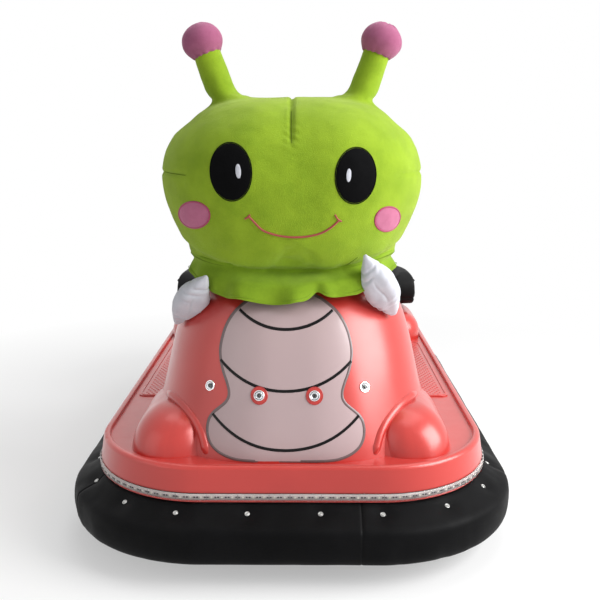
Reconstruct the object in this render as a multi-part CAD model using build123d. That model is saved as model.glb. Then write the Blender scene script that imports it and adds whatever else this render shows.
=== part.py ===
from build123d import *
import math
import os

# A small battery bumper car for one child, with a plush bug on its cowl.
# The front faces -Y, +X is to the right as seen from the front camera, +Z is up,
# and the origin is on the floor under the middle of the car. Millimetres.
# Pieces at the front are placed from the front end, pieces at the rear from the
# rear end, and the footwell takes up what is left between them.

os.makedirs("parts", exist_ok=True)

# Whole car
car_length = 1250
car_width = 784
soft_gap = 0.3          # a soft or curved piece stays this far from its neighbour
running_gap = 0.05      # radial clearance of a shaft in its bearing
washer_gap = 0.3        # end play beside a wheel or a thrust washer
cut_past = 1            # a cut runs this far past the face that it opens
far = 1000              # beyond every piece

# Foam bumper ring
ring_bottom = 38
ring_face_top = 103     # the upright face ends here and the slope starts
ring_top = 129
ring_slope_run = 47
ring_depth = 96
ring_corner = 248
ring_edge = 12

# Moulded deck with its fascia and rounded rim
shell_wall = 5
shell_inset = 49        # from the outside of the ring to the fascia
rim_height = 58
rim_width = 12
rim_edge = 7
rim_inner_edge = 4
deck_below_rim = 6
fascia_draft = 6

# Light strip in its sleeve, just above the ring
strip_height = 13
strip_depth = 3.5
strip_lift = 2.5

# Cowl sections: height, half width and corner as shares of half the car's width
# and of that half width, and how far the front lies behind the car's front
cowl_table = (
    # height, half width share, front inset, corner share
    (181, 0.660, 80, 0.84),
    (240, 0.614, 96, 0.86),
    (300, 0.578, 116, 0.87),
    (380, 0.529, 153, 0.87),
    (430, 0.462, 190, 0.86),
    (458, 0.360, 226, 0.83),
)
cowl_length = 450       # from the cowl's front to its open rear edge

# Corner bulges on the deck and the arches behind them: height, half width,
# front and rear from the car's front, share of the half width in the corner, middle
bulge_table = (
    # height, half width, front, rear, corner share, middle as a share of half the car's width
    (181, 68, 100, 350, 0.94, 0.524),
    (205, 65, 108, 346, 0.94, 0.517),
    (226, 57, 123, 339, 0.94, 0.508),
    (241, 43, 146, 328, 0.94, 0.500),
    (249, 24, 178, 310, 0.92, 0.494),
)
arch_shift = 27         # the arch lies this far inboard of the bulge
arch_back = 10
arch_drop = 5

# Tread panels beside the footwell
tread_high = 2
tread_corner = 14
tread_front_gap = 110   # ahead of the cowl's rear edge
tread_edge_gap = 9

# Footwell between the cowl and the seat
footwell_toe = 130      # how far it runs forward under the cowl
footwell_side_gap = 13  # between its upper wall and the outside of the cowl
seat_to_footwell = 55
tray_wall = 4
tray_bottom = 52
mat_thick = 5
mat_edge = 8
pedal_x = 70
pedal_half = 34
pedal_from_front = 60
pedal_base_high = 12
pedal_base_long = 70
pedal_plate_long = 92
pedal_plate_thick = 7
pedal_plate_lift = 34
pedal_tilt = 32

# Steel frame
tube = 30
rail_bottom = 74
bar_thick = 6
bar_wide = 30
band_thick = 4
band_high = 36
rail_end_gap = 5        # between the rails' ends and the band's line
end_bar_x = 60
hold_down_radius = 4.5
post_from_rail_end = 15

# Wheels
rear_wheel_radius = 62.5
rear_wheel_wide = 36
rear_axle_radius = 6
wheel_side_room = 18    # on each side of a rear wheel, to the rail and to the band
wheel_end_room = 22     # between a rear wheel and the side bar ahead of it
wheel_corner_room = 10  # between a rear wheel and the ring's rounded corner behind it
axle_past_wheel = 8
axle_block_half = 20
axle_block_below = 16
drive_wheel_radius = 75
drive_wheel_wide = 44
drive_wheel_room = 10   # between the steered wheel's sweep and the front cross tube
drive_axle_radius = 6
drive_axle_past = 8
tyre_thick = 17
drum_inset = 2          # the drum's faces lie this far inside the tyre's

# Fork and steering
fork_plate = 6
fork_leg_wide = 40
fork_leg_below = 22
fork_crown = 8
fork_gap = 5
spindle_radius = 12
washer_thick = 2.7
washer_wide = 8
crown_clearance = 18
spindle_in_box = 16
spindle_end_gap = 1
head_beam_high = 26
head_beam_half = 25
steer_box_size = 62
steer_box_high = 62
column_radius = 9
column_in_box = 6
column_end_gap = 2
column_past_cowl = 155
column_wheel_z = 440
column_below_wheel = 8
column_hole_radius = 16
wheel_ring_radius = 100
wheel_grip_radius = 10
spoke_wide = 22
spoke_thick = 7
spoke_angles = (0, 90, 180)
wheel_hub_radius = 24
wheel_hub_high = 16
bearing_wide = 10
bearing_ahead = 2
bearing_long = 28

# Bulkhead and dash
bulkhead_thick = 5
dash_from_cowl_rear = 14
dash_thick = 6
dash_bottom = 300

# Batteries and speed controller
battery_wide = 151
battery_deep = 98
battery_high = 92
battery_gap = 14        # between the two
controller_half = 60
controller_deep = 34
controller_high = 40
battery_tray_thick = 3
battery_tray_margin = 4
battery_tray_inset = 20
bay_clear = 8

# Seat moulding and cushions
tub_long = 323
tub_clear = 2           # from the rim
tub_front_corner = 60
tub_top = 250
tub_edge = 50
arm_wide = 118          # a side housing
back_deep = 90
seat_step = 5           # the seat's front lies this far behind the housings'
seat_floor = 206
seat_corner = 60
cushion_thick = 46
cushion_side_gap = 10
cushion_front_gap = 6
cushion_back_gap = 12
cushion_edge = 16
pad_inset = 5           # the pad's sides lie this far inside the moulding's
pad_rear_gap = 8
pad_thick = 60
pad_wing_from_tub = 62
pad_wing_top = 352
pad_back_top = 450
pad_back_share = 0.42
pad_back_corner = 50
pad_edge = 26

# Lamp lenses on the front of the cowl
lamp_table = (
    # share of half the car's width, height, radius
    (0.327, 293, 10),
    (0.115, 286, 10),
)
lamp_middle = -6        # the lamps and the sticker are centred a little off the cowl's middle
lens_out = 5

# Plush head
head_from_front = 325
head_table = (
    # height, half width as a share of half the car's, half depth, corner share of the half depth
    (458.3, 0.357, 116, 0.92),
    (513, 0.500, 154, 0.94),
    (570, 0.564, 174, 0.95),
    (637, 0.592, 184, 0.95),
    (688, 0.558, 174, 0.95),
    (728, 0.470, 146, 0.95),
    (752, 0.372, 114, 0.94),
    (761, 0.286, 86, 0.93),
)
antenna_base_share = 0.273
antenna_base_z = 736
antenna_base_radius = 30
antenna_tip_share = 0.372
antenna_tip_z = 838
antenna_tip_radius = 22
ball_share = 0.398
ball_z = 859
ball_radius = 37

# Collar
collar_table = (
    # height, half width as a share of half the car's, half depth, corner share of the half depth
    (424, 0.434, 148, 0.93),
    (452, 0.462, 154, 0.94),
    (480, 0.439, 150, 0.94),
)
collar_thick = 6

# Mitts: leaf forms that hang from the collar's sides
mitt_table = (
    # distance along the mitt, half width, half thickness
    (-57, 9, 7),
    (-40, 21, 15),
    (-11, 29, 19),
    (20, 26, 18),
    (45, 15, 12),
    (59, 5, 4),
)
mitt_places = (
    # name, side, share of half the car's width, from the front, height, lean, tip
    ("left", -1, 0.434, 230, 419, 25, 35),
    ("right", 1, 0.375, 203, 451, 25, 26),
)


def write(name, shape):
    export_step(shape, "parts/" + name + ".step")


def box_between(x0, x1, y0, y1, z0, z1):
    return Pos((x0 + x1) / 2, (y0 + y1) / 2, (z0 + z1) / 2) * Box(x1 - x0, y1 - y0, z1 - z0)


def rod(radius, start, end):
    direction = Vector(*end) - Vector(*start)
    place = Plane(origin=Vector(*start), z_dir=direction)
    return extrude(place * Circle(radius), direction.length)


def rounded_outline(half_x, front, rear, corner, height, middle=0.0):
    return Pos(middle, (front + rear) / 2, height) * RectangleRounded(2 * half_x, rear - front, corner)


def rounded_block(half_x, front, rear, corner, z0, z1):
    return extrude(rounded_outline(half_x, front, rear, corner, z0), z1 - z0)


def body_of_sections(sections, grow=0.0, drop=0.0, rise=0.0):
    # One smooth body through rounded outlines, each grown by the same amount.
    # A section is height, half width, front, rear, corner and middle.
    faces = []
    last = len(sections) - 1
    for number, (height, half_x, front, rear, corner, middle) in enumerate(sections):
        lift = -drop if number == 0 else (rise if number == last else 0)
        faces.append(rounded_outline(half_x + grow, front - grow, rear + grow, corner + grow,
                                     height + lift, middle))
    return loft(faces)


def both_sides(shape):
    return [shape, mirror(shape, about=Plane.YZ)]


def bodies(*shapes):
    return Compound(children=[solid for shape in shapes for solid in shape.solids()])


half_length = car_length / 2
half_width = car_width / 2
car_front = -half_length
car_rear = half_length

# Bumper ring: one closed loop with a sloping shoulder
ring_outer = rounded_block(half_width, car_front, car_rear, ring_corner, ring_bottom, ring_face_top)
ring_slope = loft([
    rounded_outline(half_width, car_front, car_rear, ring_corner, ring_face_top),
    rounded_outline(half_width - ring_slope_run, car_front + ring_slope_run, car_rear - ring_slope_run,
                    ring_corner - ring_slope_run, ring_top),
])
ring_hole_x = half_width - ring_depth
ring_hole_y = half_length - ring_depth
ring_hole_corner = ring_corner - ring_depth
ring_hole = rounded_block(ring_hole_x, -ring_hole_y, ring_hole_y, ring_hole_corner,
                          ring_bottom - cut_past, ring_top + cut_past)
ring_outer = fillet(ring_outer.faces().sort_by(Axis.Z)[0].edges(), ring_edge)
bumper_ring = ring_outer + ring_slope - ring_hole
write("bumper_ring", bumper_ring)

# Places along and across the car that several pieces share
deck_half_x = half_width - shell_inset
deck_half_y = half_length - shell_inset
deck_corner = ring_corner - shell_inset
rim_top = ring_top + rim_height
deck_top = rim_top - deck_below_rim
deck_under = deck_top - shell_wall
rim_inner_x = deck_half_x - fascia_draft - rim_width
rim_inner_y = deck_half_y - fascia_draft - rim_width
rim_inner_corner = deck_corner - fascia_draft - rim_width

band_x = ring_hole_x
band_y = ring_hole_y
band_z = rail_bottom + tube / 2
rail_top = rail_bottom + tube
rail_outer = band_x - band_thick - 2 * wheel_side_room - rear_wheel_wide
rail_inner = rail_outer - tube
ring_arc_x = half_width - ring_corner
ring_arc_y = half_length - ring_corner
rail_end = ring_arc_y + math.sqrt(ring_hole_corner ** 2 - (rail_outer - ring_arc_x) ** 2) - rail_end_gap

cowl_front = car_front + cowl_table[0][2]
cowl_rear = cowl_front + cowl_length
cowl_top = cowl_table[-1][0]
cowl_sections = [
    (height, share * half_width, car_front + inset, cowl_rear + share * half_width,
     corner * share * half_width, 0.0)
    for height, share, inset, corner in cowl_table]
cowl_base_half = cowl_sections[0][1]
cowl_base_corner = cowl_sections[0][4]

footwell_front = cowl_rear - footwell_toe
footwell_upper_half = cowl_base_half - footwell_side_gap
footwell_half = rail_inner - tray_wall
tub_rear = rim_inner_y - tub_clear
tub_front = tub_rear - tub_long
footwell_rear = tub_front - seat_to_footwell
drive_wheel_sweep = math.hypot(drive_wheel_radius, drive_wheel_wide / 2)
drive_wheel_y = -rail_end + tube + drive_wheel_room + drive_wheel_sweep
rear_wheel_x = rail_outer + wheel_side_room + rear_wheel_wide / 2
rear_wheel_outer = rear_wheel_x + rear_wheel_wide / 2
ring_corner_y = ring_arc_y + math.sqrt(ring_hole_corner ** 2 - (rear_wheel_outer - ring_arc_x) ** 2)
rear_axle_y = ring_corner_y - wheel_corner_room - rear_wheel_radius

# Heights of the steering head: fork crown, thrust washer, beam and steering box
fork_top = drive_wheel_radius * 2 + crown_clearance
beam_bottom = fork_top + washer_thick + washer_gap
beam_top = beam_bottom + head_beam_high

# Batteries stand behind the footwell
battery_tray_front = footwell_rear + tray_wall
controller_front = battery_tray_front + battery_tray_margin
battery_front = tub_front + shell_wall + bay_clear
battery_rear = battery_front + battery_deep
battery_tray_rear = battery_rear + battery_tray_margin
battery_outer = battery_gap / 2 + battery_wide
battery_floor = rail_top + battery_tray_thick

# Deck moulding
fascia_break = ring_top + strip_lift + strip_height + strip_lift
deck = rounded_block(deck_half_x, -deck_half_y, deck_half_y, deck_corner, ring_top, fascia_break)
deck += loft([
    rounded_outline(deck_half_x, -deck_half_y, deck_half_y, deck_corner, fascia_break),
    rounded_outline(deck_half_x - fascia_draft, -deck_half_y + fascia_draft, deck_half_y - fascia_draft,
                    deck_corner - fascia_draft, rim_top),
])
deck = fillet(deck.faces().sort_by(Axis.Z)[-1].edges(), rim_edge)
deck -= rounded_block(rim_inner_x, -rim_inner_y, rim_inner_y, rim_inner_corner, deck_top, rim_top + cut_past)
deck = fillet(
    deck.faces().filter_by(Axis.Z).sort_by(Axis.Z)[-1].wires().sort_by(SortBy.LENGTH)[0].edges(),
    rim_inner_edge)
under_inset = fascia_draft + shell_wall
deck -= rounded_block(
    deck_half_x - under_inset, -deck_half_y + under_inset, deck_half_y - under_inset,
    deck_corner - under_inset, ring_top - cut_past, deck_under)

bulge_sections = [
    (height, half_x, car_front + front, car_front + rear, corner * half_x, middle * half_width)
    for height, half_x, front, rear, corner, middle in bulge_table]
arch_sections = [
    (height - (arch_drop if number else 0), half_x, front + arch_back, rear, corner, middle - arch_shift)
    for number, (height, half_x, front, rear, corner, middle) in enumerate(bulge_sections)]
for sections in (arch_sections, bulge_sections):
    for side in both_sides(body_of_sections(sections)):
        deck += side

tread_inner = footwell_upper_half + tread_edge_gap
tread_outer = rim_inner_x - tread_edge_gap
tread_front = cowl_rear - tread_front_gap
tread_rear = tub_front - tread_edge_gap
tread = extrude(
    Pos((tread_inner + tread_outer) / 2, (tread_front + tread_rear) / 2, deck_top)
    * RectangleRounded(tread_outer - tread_inner, tread_rear - tread_front, tread_corner), tread_high)
for side in both_sides(tread):
    deck += side

drive_bay = rounded_block(
    cowl_base_half - 2 * shell_wall, cowl_front + 2 * shell_wall, cowl_rear + cowl_base_half,
    cowl_base_corner - 2 * shell_wall, ring_top, deck_top)
drive_bay &= box_between(-far, far, -rail_end + tube, footwell_front, ring_top, deck_top)
deck -= drive_bay
deck -= box_between(-footwell_upper_half, footwell_upper_half, footwell_front - cut_past, footwell_rear,
                    ring_top, deck_top)
deck -= box_between(-battery_outer - bay_clear, battery_outer + bay_clear, battery_front - bay_clear / 2,
                    battery_rear + bay_clear, ring_top, deck_top)

# Cowl: one hollow hump, open towards the rider
cowl_outer = body_of_sections(cowl_sections)
cowl_inner = body_of_sections(cowl_sections, grow=-shell_wall, drop=cut_past, rise=-shell_wall)
rider_side = box_between(-far, far, cowl_rear, far, 0, far)
cowl = cowl_outer - cowl_inner - rider_side
deck -= cowl_outer - rider_side
write("deck_shell", deck)
write("cowl_shell", cowl)

# Light strip around the fascia
strip_bottom = ring_top + strip_lift
strip_top = strip_bottom + strip_height
strip = rounded_block(
    deck_half_x + strip_depth, -deck_half_y - strip_depth, deck_half_y + strip_depth,
    deck_corner + strip_depth, strip_bottom, strip_top)
strip -= rounded_block(deck_half_x, -deck_half_y, deck_half_y, deck_corner, strip_bottom, strip_top)
write("light_strip", strip)

# Frame: rails, cross tubes, posts, bars to the bumper and the bands they hold
for name, side in (("left", -1), ("right", 1)):
    x_near, x_far = sorted((side * rail_inner, side * rail_outer))
    write("frame_rail_" + name, box_between(x_near, x_far, -rail_end, rail_end, rail_bottom, rail_top))

cross_places = (
    -rail_end,
    footwell_front - tray_wall - tube,
    footwell_rear + tray_wall,
    battery_tray_rear - tube,
    rail_end - tube,
)
cross_tubes = [box_between(-rail_inner, rail_inner, y, y + tube, rail_bottom, rail_top) for y in cross_places]
write("frame_cross_tubes", bodies(*cross_tubes))

post_places = (
    -rail_end + post_from_rail_end,
    footwell_rear + tray_wall + tube / 2 + cut_past,
    rail_end - post_from_rail_end,
)
posts = []
for y in post_places:
    posts += both_sides(box_between(rail_inner, rail_outer, y - tube / 2, y + tube / 2, rail_top, deck_under))
write("shell_posts", bodies(*posts))

side_bar_y = rear_axle_y - rear_wheel_radius - wheel_end_room - bar_wide / 2
hold_down_x = (rail_outer + band_x - band_thick) / 2
bars = []
for y in (-side_bar_y, 0, side_bar_y):
    bar = box_between(rail_outer, band_x - band_thick, y - bar_wide / 2, y + bar_wide / 2,
                      band_z - bar_thick / 2, band_z + bar_thick / 2)
    if y != 0:
        bar -= Pos(hold_down_x, y, band_z) * Cylinder(hold_down_radius, 4 * bar_thick)
    bars += both_sides(bar)
end_bar = box_between(end_bar_x - bar_wide / 2, end_bar_x + bar_wide / 2, rail_end, band_y - band_thick,
                      band_z - bar_thick / 2, band_z + bar_thick / 2)
for end in (end_bar, mirror(end_bar, about=Plane.XZ)):
    bars += both_sides(end)
write("bumper_bars", bodies(*bars))

side_band = box_between(band_x - band_thick, band_x, -ring_arc_y, ring_arc_y,
                        band_z - band_high / 2, band_z + band_high / 2)
end_band = box_between(-ring_arc_x, ring_arc_x, band_y - band_thick, band_y,
                       band_z - band_high / 2, band_z + band_high / 2)
write("bumper_bands", bodies(*both_sides(side_band), end_band, mirror(end_band, about=Plane.XZ)))

# Footwell tray: a wide shelf on the rails and a deep part between them
tray_top = deck_under
footwell = box_between(-footwell_half, footwell_half, footwell_front, footwell_rear, tray_bottom,
                       rail_top + tray_wall)
footwell += box_between(-footwell_upper_half, footwell_upper_half, footwell_front, footwell_rear,
                        rail_top, tray_top)
footwell += box_between(-footwell_upper_half - tray_wall, footwell_upper_half + tray_wall, footwell_front,
                        footwell_rear, tray_top - tray_wall, tray_top)
footwell -= box_between(-footwell_half + tray_wall, footwell_half - tray_wall, footwell_front + tray_wall,
                        footwell_rear - tray_wall, tray_bottom + tray_wall, tray_top)
footwell -= box_between(-footwell_upper_half + tray_wall, footwell_upper_half - tray_wall,
                        footwell_front + tray_wall, footwell_rear - tray_wall, rail_top + tray_wall,
                        tray_top + cut_past)
write("footwell_tray", footwell)

mat_margin = tray_wall + mat_edge
mat = box_between(-footwell_half + mat_margin, footwell_half - mat_margin,
                  footwell_front + mat_margin, footwell_rear - mat_margin,
                  tray_bottom + tray_wall, tray_bottom + tray_wall + mat_thick)
write("footwell_mat", mat)

# Pedal on its bracket at the front of the footwell
pedal_floor = tray_bottom + tray_wall + mat_thick
pedal_y = footwell_front + pedal_from_front
pedal = Pos(pedal_x, pedal_y, pedal_floor + pedal_base_high / 2) * Box(
    2 * pedal_half, pedal_base_long, pedal_base_high)
pedal += Pos(pedal_x, pedal_y, pedal_floor + pedal_plate_lift) * Rot(-pedal_tilt, 0, 0) * Box(
    2 * pedal_half, pedal_plate_long, pedal_plate_thick)
write("foot_pedal", pedal)

# Bulkhead between the rider's feet and the drive bay, and the dash above the knees
cowl_room = body_of_sections(
    cowl_sections, grow=-shell_wall - soft_gap, drop=cut_past, rise=-shell_wall - soft_gap)
column_start = Vector(0, drive_wheel_y, beam_top + steer_box_high / 2)
column_end = Vector(0, cowl_rear + column_past_cowl, column_wheel_z)
column_line = (column_end - column_start).normalized()
column_length = (column_end - column_start).length


def on_column(distance):
    return column_start + column_line * distance


column_path = rod(column_hole_radius, on_column(0), on_column(column_length))
bulkhead = cowl_room & box_between(-far, far, footwell_front - bulkhead_thick, footwell_front, deck_top, far)
bulkhead -= column_path
write("bulkhead", bulkhead)

dash_rear = cowl_rear - dash_from_cowl_rear
dash = cowl_room & box_between(-far, far, dash_rear - dash_thick, dash_rear, dash_bottom, far)
dash -= column_path
write("dash_panel", dash)

# Steering head: beam on two posts, steering box on top of it
spindle_bore = spindle_radius + running_gap
beam = box_between(-rail_outer, rail_outer, drive_wheel_y - head_beam_half, drive_wheel_y + head_beam_half,
                   beam_bottom, beam_top)
for side in both_sides(box_between(rail_inner, rail_outer, drive_wheel_y - tube / 2,
                                   drive_wheel_y + tube / 2, rail_top, beam_bottom)):
    beam += side
beam -= Pos(0, drive_wheel_y, beam_bottom) * Cylinder(spindle_bore, 2 * head_beam_high + 2 * cut_past)
write("steering_beam", beam)

spindle_top = beam_top + spindle_in_box
steer_box = box_between(-steer_box_size / 2, steer_box_size / 2, drive_wheel_y - steer_box_size / 2,
                        drive_wheel_y + steer_box_size / 2, beam_top, beam_top + steer_box_high)
steer_box -= Pos(0, drive_wheel_y, beam_top) * Cylinder(spindle_bore, 2 * (spindle_in_box + spindle_end_gap))
steer_box -= rod(column_radius + running_gap, on_column(-column_in_box - column_end_gap), on_column(column_length))
write("steering_box", steer_box)

# Fork: crown, two legs, thrust washer and spindle
axle_z = drive_wheel_radius
leg_inner = drive_wheel_wide / 2 + fork_gap
leg_outer = leg_inner + fork_plate
leg = box_between(leg_inner, leg_outer, drive_wheel_y - fork_leg_wide / 2, drive_wheel_y + fork_leg_wide / 2,
                  axle_z - fork_leg_below, fork_top)
fork = box_between(-leg_outer, leg_outer, drive_wheel_y - fork_leg_wide / 2,
                   drive_wheel_y + fork_leg_wide / 2, fork_top - fork_crown, fork_top)
for side in both_sides(leg):
    fork += side
fork += Pos(0, drive_wheel_y, fork_top + washer_thick / 2) * Cylinder(spindle_radius + washer_wide, washer_thick)
fork += Pos(0, drive_wheel_y, (fork_top + spindle_top) / 2) * Cylinder(spindle_radius, spindle_top - fork_top)
fork += Pos(0, drive_wheel_y, axle_z) * Rot(0, 90, 0) * Cylinder(
    drive_axle_radius, 2 * (leg_outer + drive_axle_past))
write("drive_fork", fork)


def wheel_pieces(radius, wide, bore, at):
    # A rubber tyre on a plain drum with a bore that runs on the axle.
    place = Pos(*at) * Rot(0, 90, 0)
    tread_ring = place * Cylinder(radius, wide)
    tread_ring = fillet(tread_ring.edges().filter_by(GeomType.CIRCLE), wide / 4)
    tread_ring -= place * Cylinder(radius - tyre_thick, wide + cut_past)
    drum = place * Cylinder(radius - tyre_thick, wide - 2 * drum_inset)
    drum -= place * Cylinder(bore, wide + cut_past)
    return tread_ring, drum


drive_tyre, drive_drum = wheel_pieces(
    drive_wheel_radius, drive_wheel_wide, drive_axle_radius + running_gap, (0, drive_wheel_y, axle_z))
write("drive_tyre", drive_tyre)
write("drive_motor_drum", drive_drum)

# Rear axle in two blocks under the rails, with a wheel on each end
axle_end = rear_wheel_outer + axle_past_wheel
axle_place = Pos(0, rear_axle_y, rear_wheel_radius) * Rot(0, 90, 0)
write("rear_axle", axle_place * Cylinder(rear_axle_radius, 2 * axle_end))
block = box_between(rail_inner, rail_outer, rear_axle_y - axle_block_half, rear_axle_y + axle_block_half,
                    rear_wheel_radius - axle_block_below, rail_bottom)
block -= axle_place * Cylinder(rear_axle_radius, 2 * (axle_end + cut_past))
write("rear_axle_blocks", bodies(*both_sides(block)))
for name, side in (("left", -1), ("right", 1)):
    tyre, drum = wheel_pieces(rear_wheel_radius, rear_wheel_wide, rear_axle_radius + running_gap,
                              (side * rear_wheel_x, rear_axle_y, rear_wheel_radius))
    write("rear_tyre_" + name, tyre)
    write("rear_hub_" + name, drum)

# Batteries and speed controller on a tray over the cross tubes
battery_tray_half = rail_inner - battery_tray_inset
write("battery_tray", box_between(-battery_tray_half, battery_tray_half, battery_tray_front, battery_tray_rear,
                                  rail_top, battery_floor))
battery = box_between(battery_gap / 2, battery_outer, battery_front, battery_rear, battery_floor,
                      battery_floor + battery_high)
write("batteries", bodies(*both_sides(battery)))
write("speed_controller", box_between(-controller_half, controller_half, controller_front,
                                      controller_front + controller_deep, battery_floor,
                                      battery_floor + controller_high))

# Seat moulding: side housings, seat base and back, all one wall thick
tub_half = rim_inner_x - tub_clear
tub_corner = rim_inner_corner - tub_clear
seat_half = tub_half - arm_wide
seat_front = tub_front + seat_step
seat_back = tub_rear - back_deep


def tub_shape(grow):
    block_shape = rounded_block(tub_half + grow, tub_front - tub_corner, tub_rear + grow, tub_corner + grow,
                                deck_top, tub_top + grow)
    block_shape &= rounded_block(tub_half + grow, tub_front - grow, tub_rear + far, tub_front_corner + grow,
                                 deck_top, tub_top + grow)
    return fillet(block_shape.faces().sort_by(Axis.Z)[-1].edges(), tub_edge + grow)


def seat_hollow(grow):
    hollow = rounded_block(seat_half + grow, -half_length, seat_back + grow, seat_corner + grow,
                           seat_floor - grow, tub_top + tub_edge)
    return hollow + box_between(-seat_half - grow, seat_half + grow, -half_length, seat_front + grow,
                                deck_top - cut_past, tub_top + tub_edge)


tub = tub_shape(0) - seat_hollow(0)
tub -= tub_shape(-shell_wall) - seat_hollow(shell_wall)
write("seat_moulding", tub)

cushion = rounded_block(seat_half - cushion_side_gap, seat_front + cushion_front_gap,
                        seat_back - cushion_back_gap, seat_corner - cushion_side_gap,
                        seat_floor + soft_gap, seat_floor + cushion_thick)
cushion = fillet(cushion.faces().sort_by(Axis.Z)[-1].edges(), cushion_edge)
write("seat_cushion", cushion)

# Backrest pad: wraps round the seat on top of the moulding, with rounded ends
pad_half = tub_half - pad_inset
pad_rear = tub_rear - pad_rear_gap
pad_wing_front = tub_front + pad_wing_from_tub
pad_bottom = tub_top + soft_gap
pad = rounded_block(pad_half, pad_wing_front - 2 * tub_corner, pad_rear, tub_corner, pad_bottom, pad_wing_top)
pad -= rounded_block(pad_half - pad_thick, pad_wing_front - 3 * tub_corner, pad_rear - pad_thick,
                     tub_corner - pad_thick, pad_bottom - cut_past, pad_wing_top + cut_past)
pad = fillet(pad.faces().sort_by(Axis.Z)[-1].edges(), pad_edge)
wing_high = pad_wing_top - pad_bottom
wing_end = box_between(-far, far, -far, pad_wing_front + wing_high / 2, 0, far)
wing_round = Pos(0, pad_wing_front + wing_high / 2, pad_bottom + wing_high / 2) * Rot(0, 90, 0) * Cylinder(
    wing_high / 2, 2 * half_width)
pad = pad - wing_end + (pad & wing_round)
pad_back_half = pad_back_share * half_width
back = box_between(-pad_back_half, pad_back_half, pad_rear - pad_thick, pad_rear, pad_bottom, pad_back_top)
back = fillet(back.edges().filter_by(Axis.Y).sort_by(Axis.Z)[-2:], pad_back_corner)
pad += back
write("backrest_pad", pad)

# Steering column, its bearing on the dash, and the wheel
dash_at = (dash_rear - column_start.Y) / column_line.Y
bearing = rod(column_radius + bearing_wide, on_column(dash_at + bearing_ahead),
              on_column(dash_at + bearing_ahead + bearing_long))
bearing += rod(column_hole_radius + bearing_wide, on_column(dash_at - bearing_long),
               on_column(dash_at + bearing_long / 2))
bearing -= rod(column_radius + running_gap, on_column(dash_at - 2 * bearing_long),
               on_column(dash_at + 2 * bearing_long))
bearing -= box_between(-far, far, -far, dash_rear, 0, far)
write("column_bearing", bearing)
write("steering_column", rod(column_radius, on_column(-column_in_box),
                             on_column(column_length - column_below_wheel)))

wheel_place = Plane(origin=column_end, x_dir=(1, 0, 0), z_dir=column_line)
hand_wheel = wheel_place * Torus(wheel_ring_radius, wheel_grip_radius)
for angle in spoke_angles:
    spoke = Pos(wheel_ring_radius / 2, 0, 0) * Box(wheel_ring_radius, spoke_wide, spoke_thick)
    hand_wheel += wheel_place * (Rot(0, 0, angle) * spoke)
hand_wheel += wheel_place * Cylinder(wheel_hub_radius, wheel_hub_high)
write("steering_wheel", hand_wheel)

# Lamp lenses that stand out of the cowl
cowl_past_lens = body_of_sections(cowl_sections, grow=lens_out, rise=lens_out)
lenses = []
for share, z, radius in lamp_table:
    for side in (-1, 1):
        x = lamp_middle + side * share * half_width
        reach = rod(radius, (x, car_front, z), (x, drive_wheel_y, z))
        lens = (cowl_past_lens & reach) - cowl_outer
        lenses.append(lens.solids().sort_by(Axis.Y)[0])
write("lamp_lenses", bodies(*lenses))

# Plush head, antennae, collar and mitts
head_y = car_front + head_from_front


def plush_sections(table):
    return [(z, share * half_width, head_y - half_y, head_y + half_y, corner * half_y, 0.0)
            for z, share, half_y, corner in table]


head_sections = plush_sections(head_table)
collar_sections = plush_sections(collar_table)
head = body_of_sections(head_sections)
head_clear = body_of_sections(head_sections, grow=soft_gap, drop=cut_past, rise=soft_gap)
write("plush_head", head)

stalks = []
balls = []
for side in (-1, 1):
    low = Vector(side * antenna_base_share * half_width, head_y, antenna_base_z)
    high = Vector(side * antenna_tip_share * half_width, head_y, antenna_tip_z)
    lean = high - low
    stalk = loft([
        Plane(origin=low, z_dir=lean) * Circle(antenna_base_radius),
        Plane(origin=high, z_dir=lean) * Circle(antenna_tip_radius),
    ])
    ball_place = Pos(side * ball_share * half_width, head_y, ball_z)
    stalks.append((stalk - head_clear - ball_place * Sphere(ball_radius + soft_gap)).solids()
                  .sort_by(SortBy.VOLUME)[-1])
    balls.append(ball_place * Sphere(ball_radius))
write("antenna_stalks", bodies(*stalks))
write("antenna_balls", bodies(*balls))

cowl_clear = body_of_sections(cowl_sections, grow=soft_gap, rise=soft_gap) - rider_side
collar = body_of_sections(collar_sections)
collar_room = body_of_sections(collar_sections, grow=-collar_thick, drop=cut_past, rise=cut_past)
collar = collar - collar_room - cowl_clear - head_clear
write("collar", collar.solids().sort_by(SortBy.VOLUME)[-1])

collar_clear = body_of_sections(collar_sections, grow=soft_gap)
for name, side, share, from_front, mitt_z, mitt_lean, mitt_tip in mitt_places:
    mitt = loft([
        Pos(0, 0, along) * RectangleRounded(2 * half_x, 2 * half_y, 0.9 * half_y)
        for along, half_x, half_y in mitt_table])
    mitt = Pos(side * share * half_width, car_front + from_front, mitt_z) * (
        Rot(mitt_tip, 0, 0) * (Rot(0, -side * mitt_lean, 0) * mitt))
    mitt = mitt - cowl_clear - collar_clear - head_clear
    write("mitt_" + name, mitt.solids().sort_by(SortBy.VOLUME)[-1])
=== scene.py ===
import bpy
import bmesh
import math
import numpy
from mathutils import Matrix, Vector, noise
from mathutils.bvhtree import BVHTree


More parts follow.
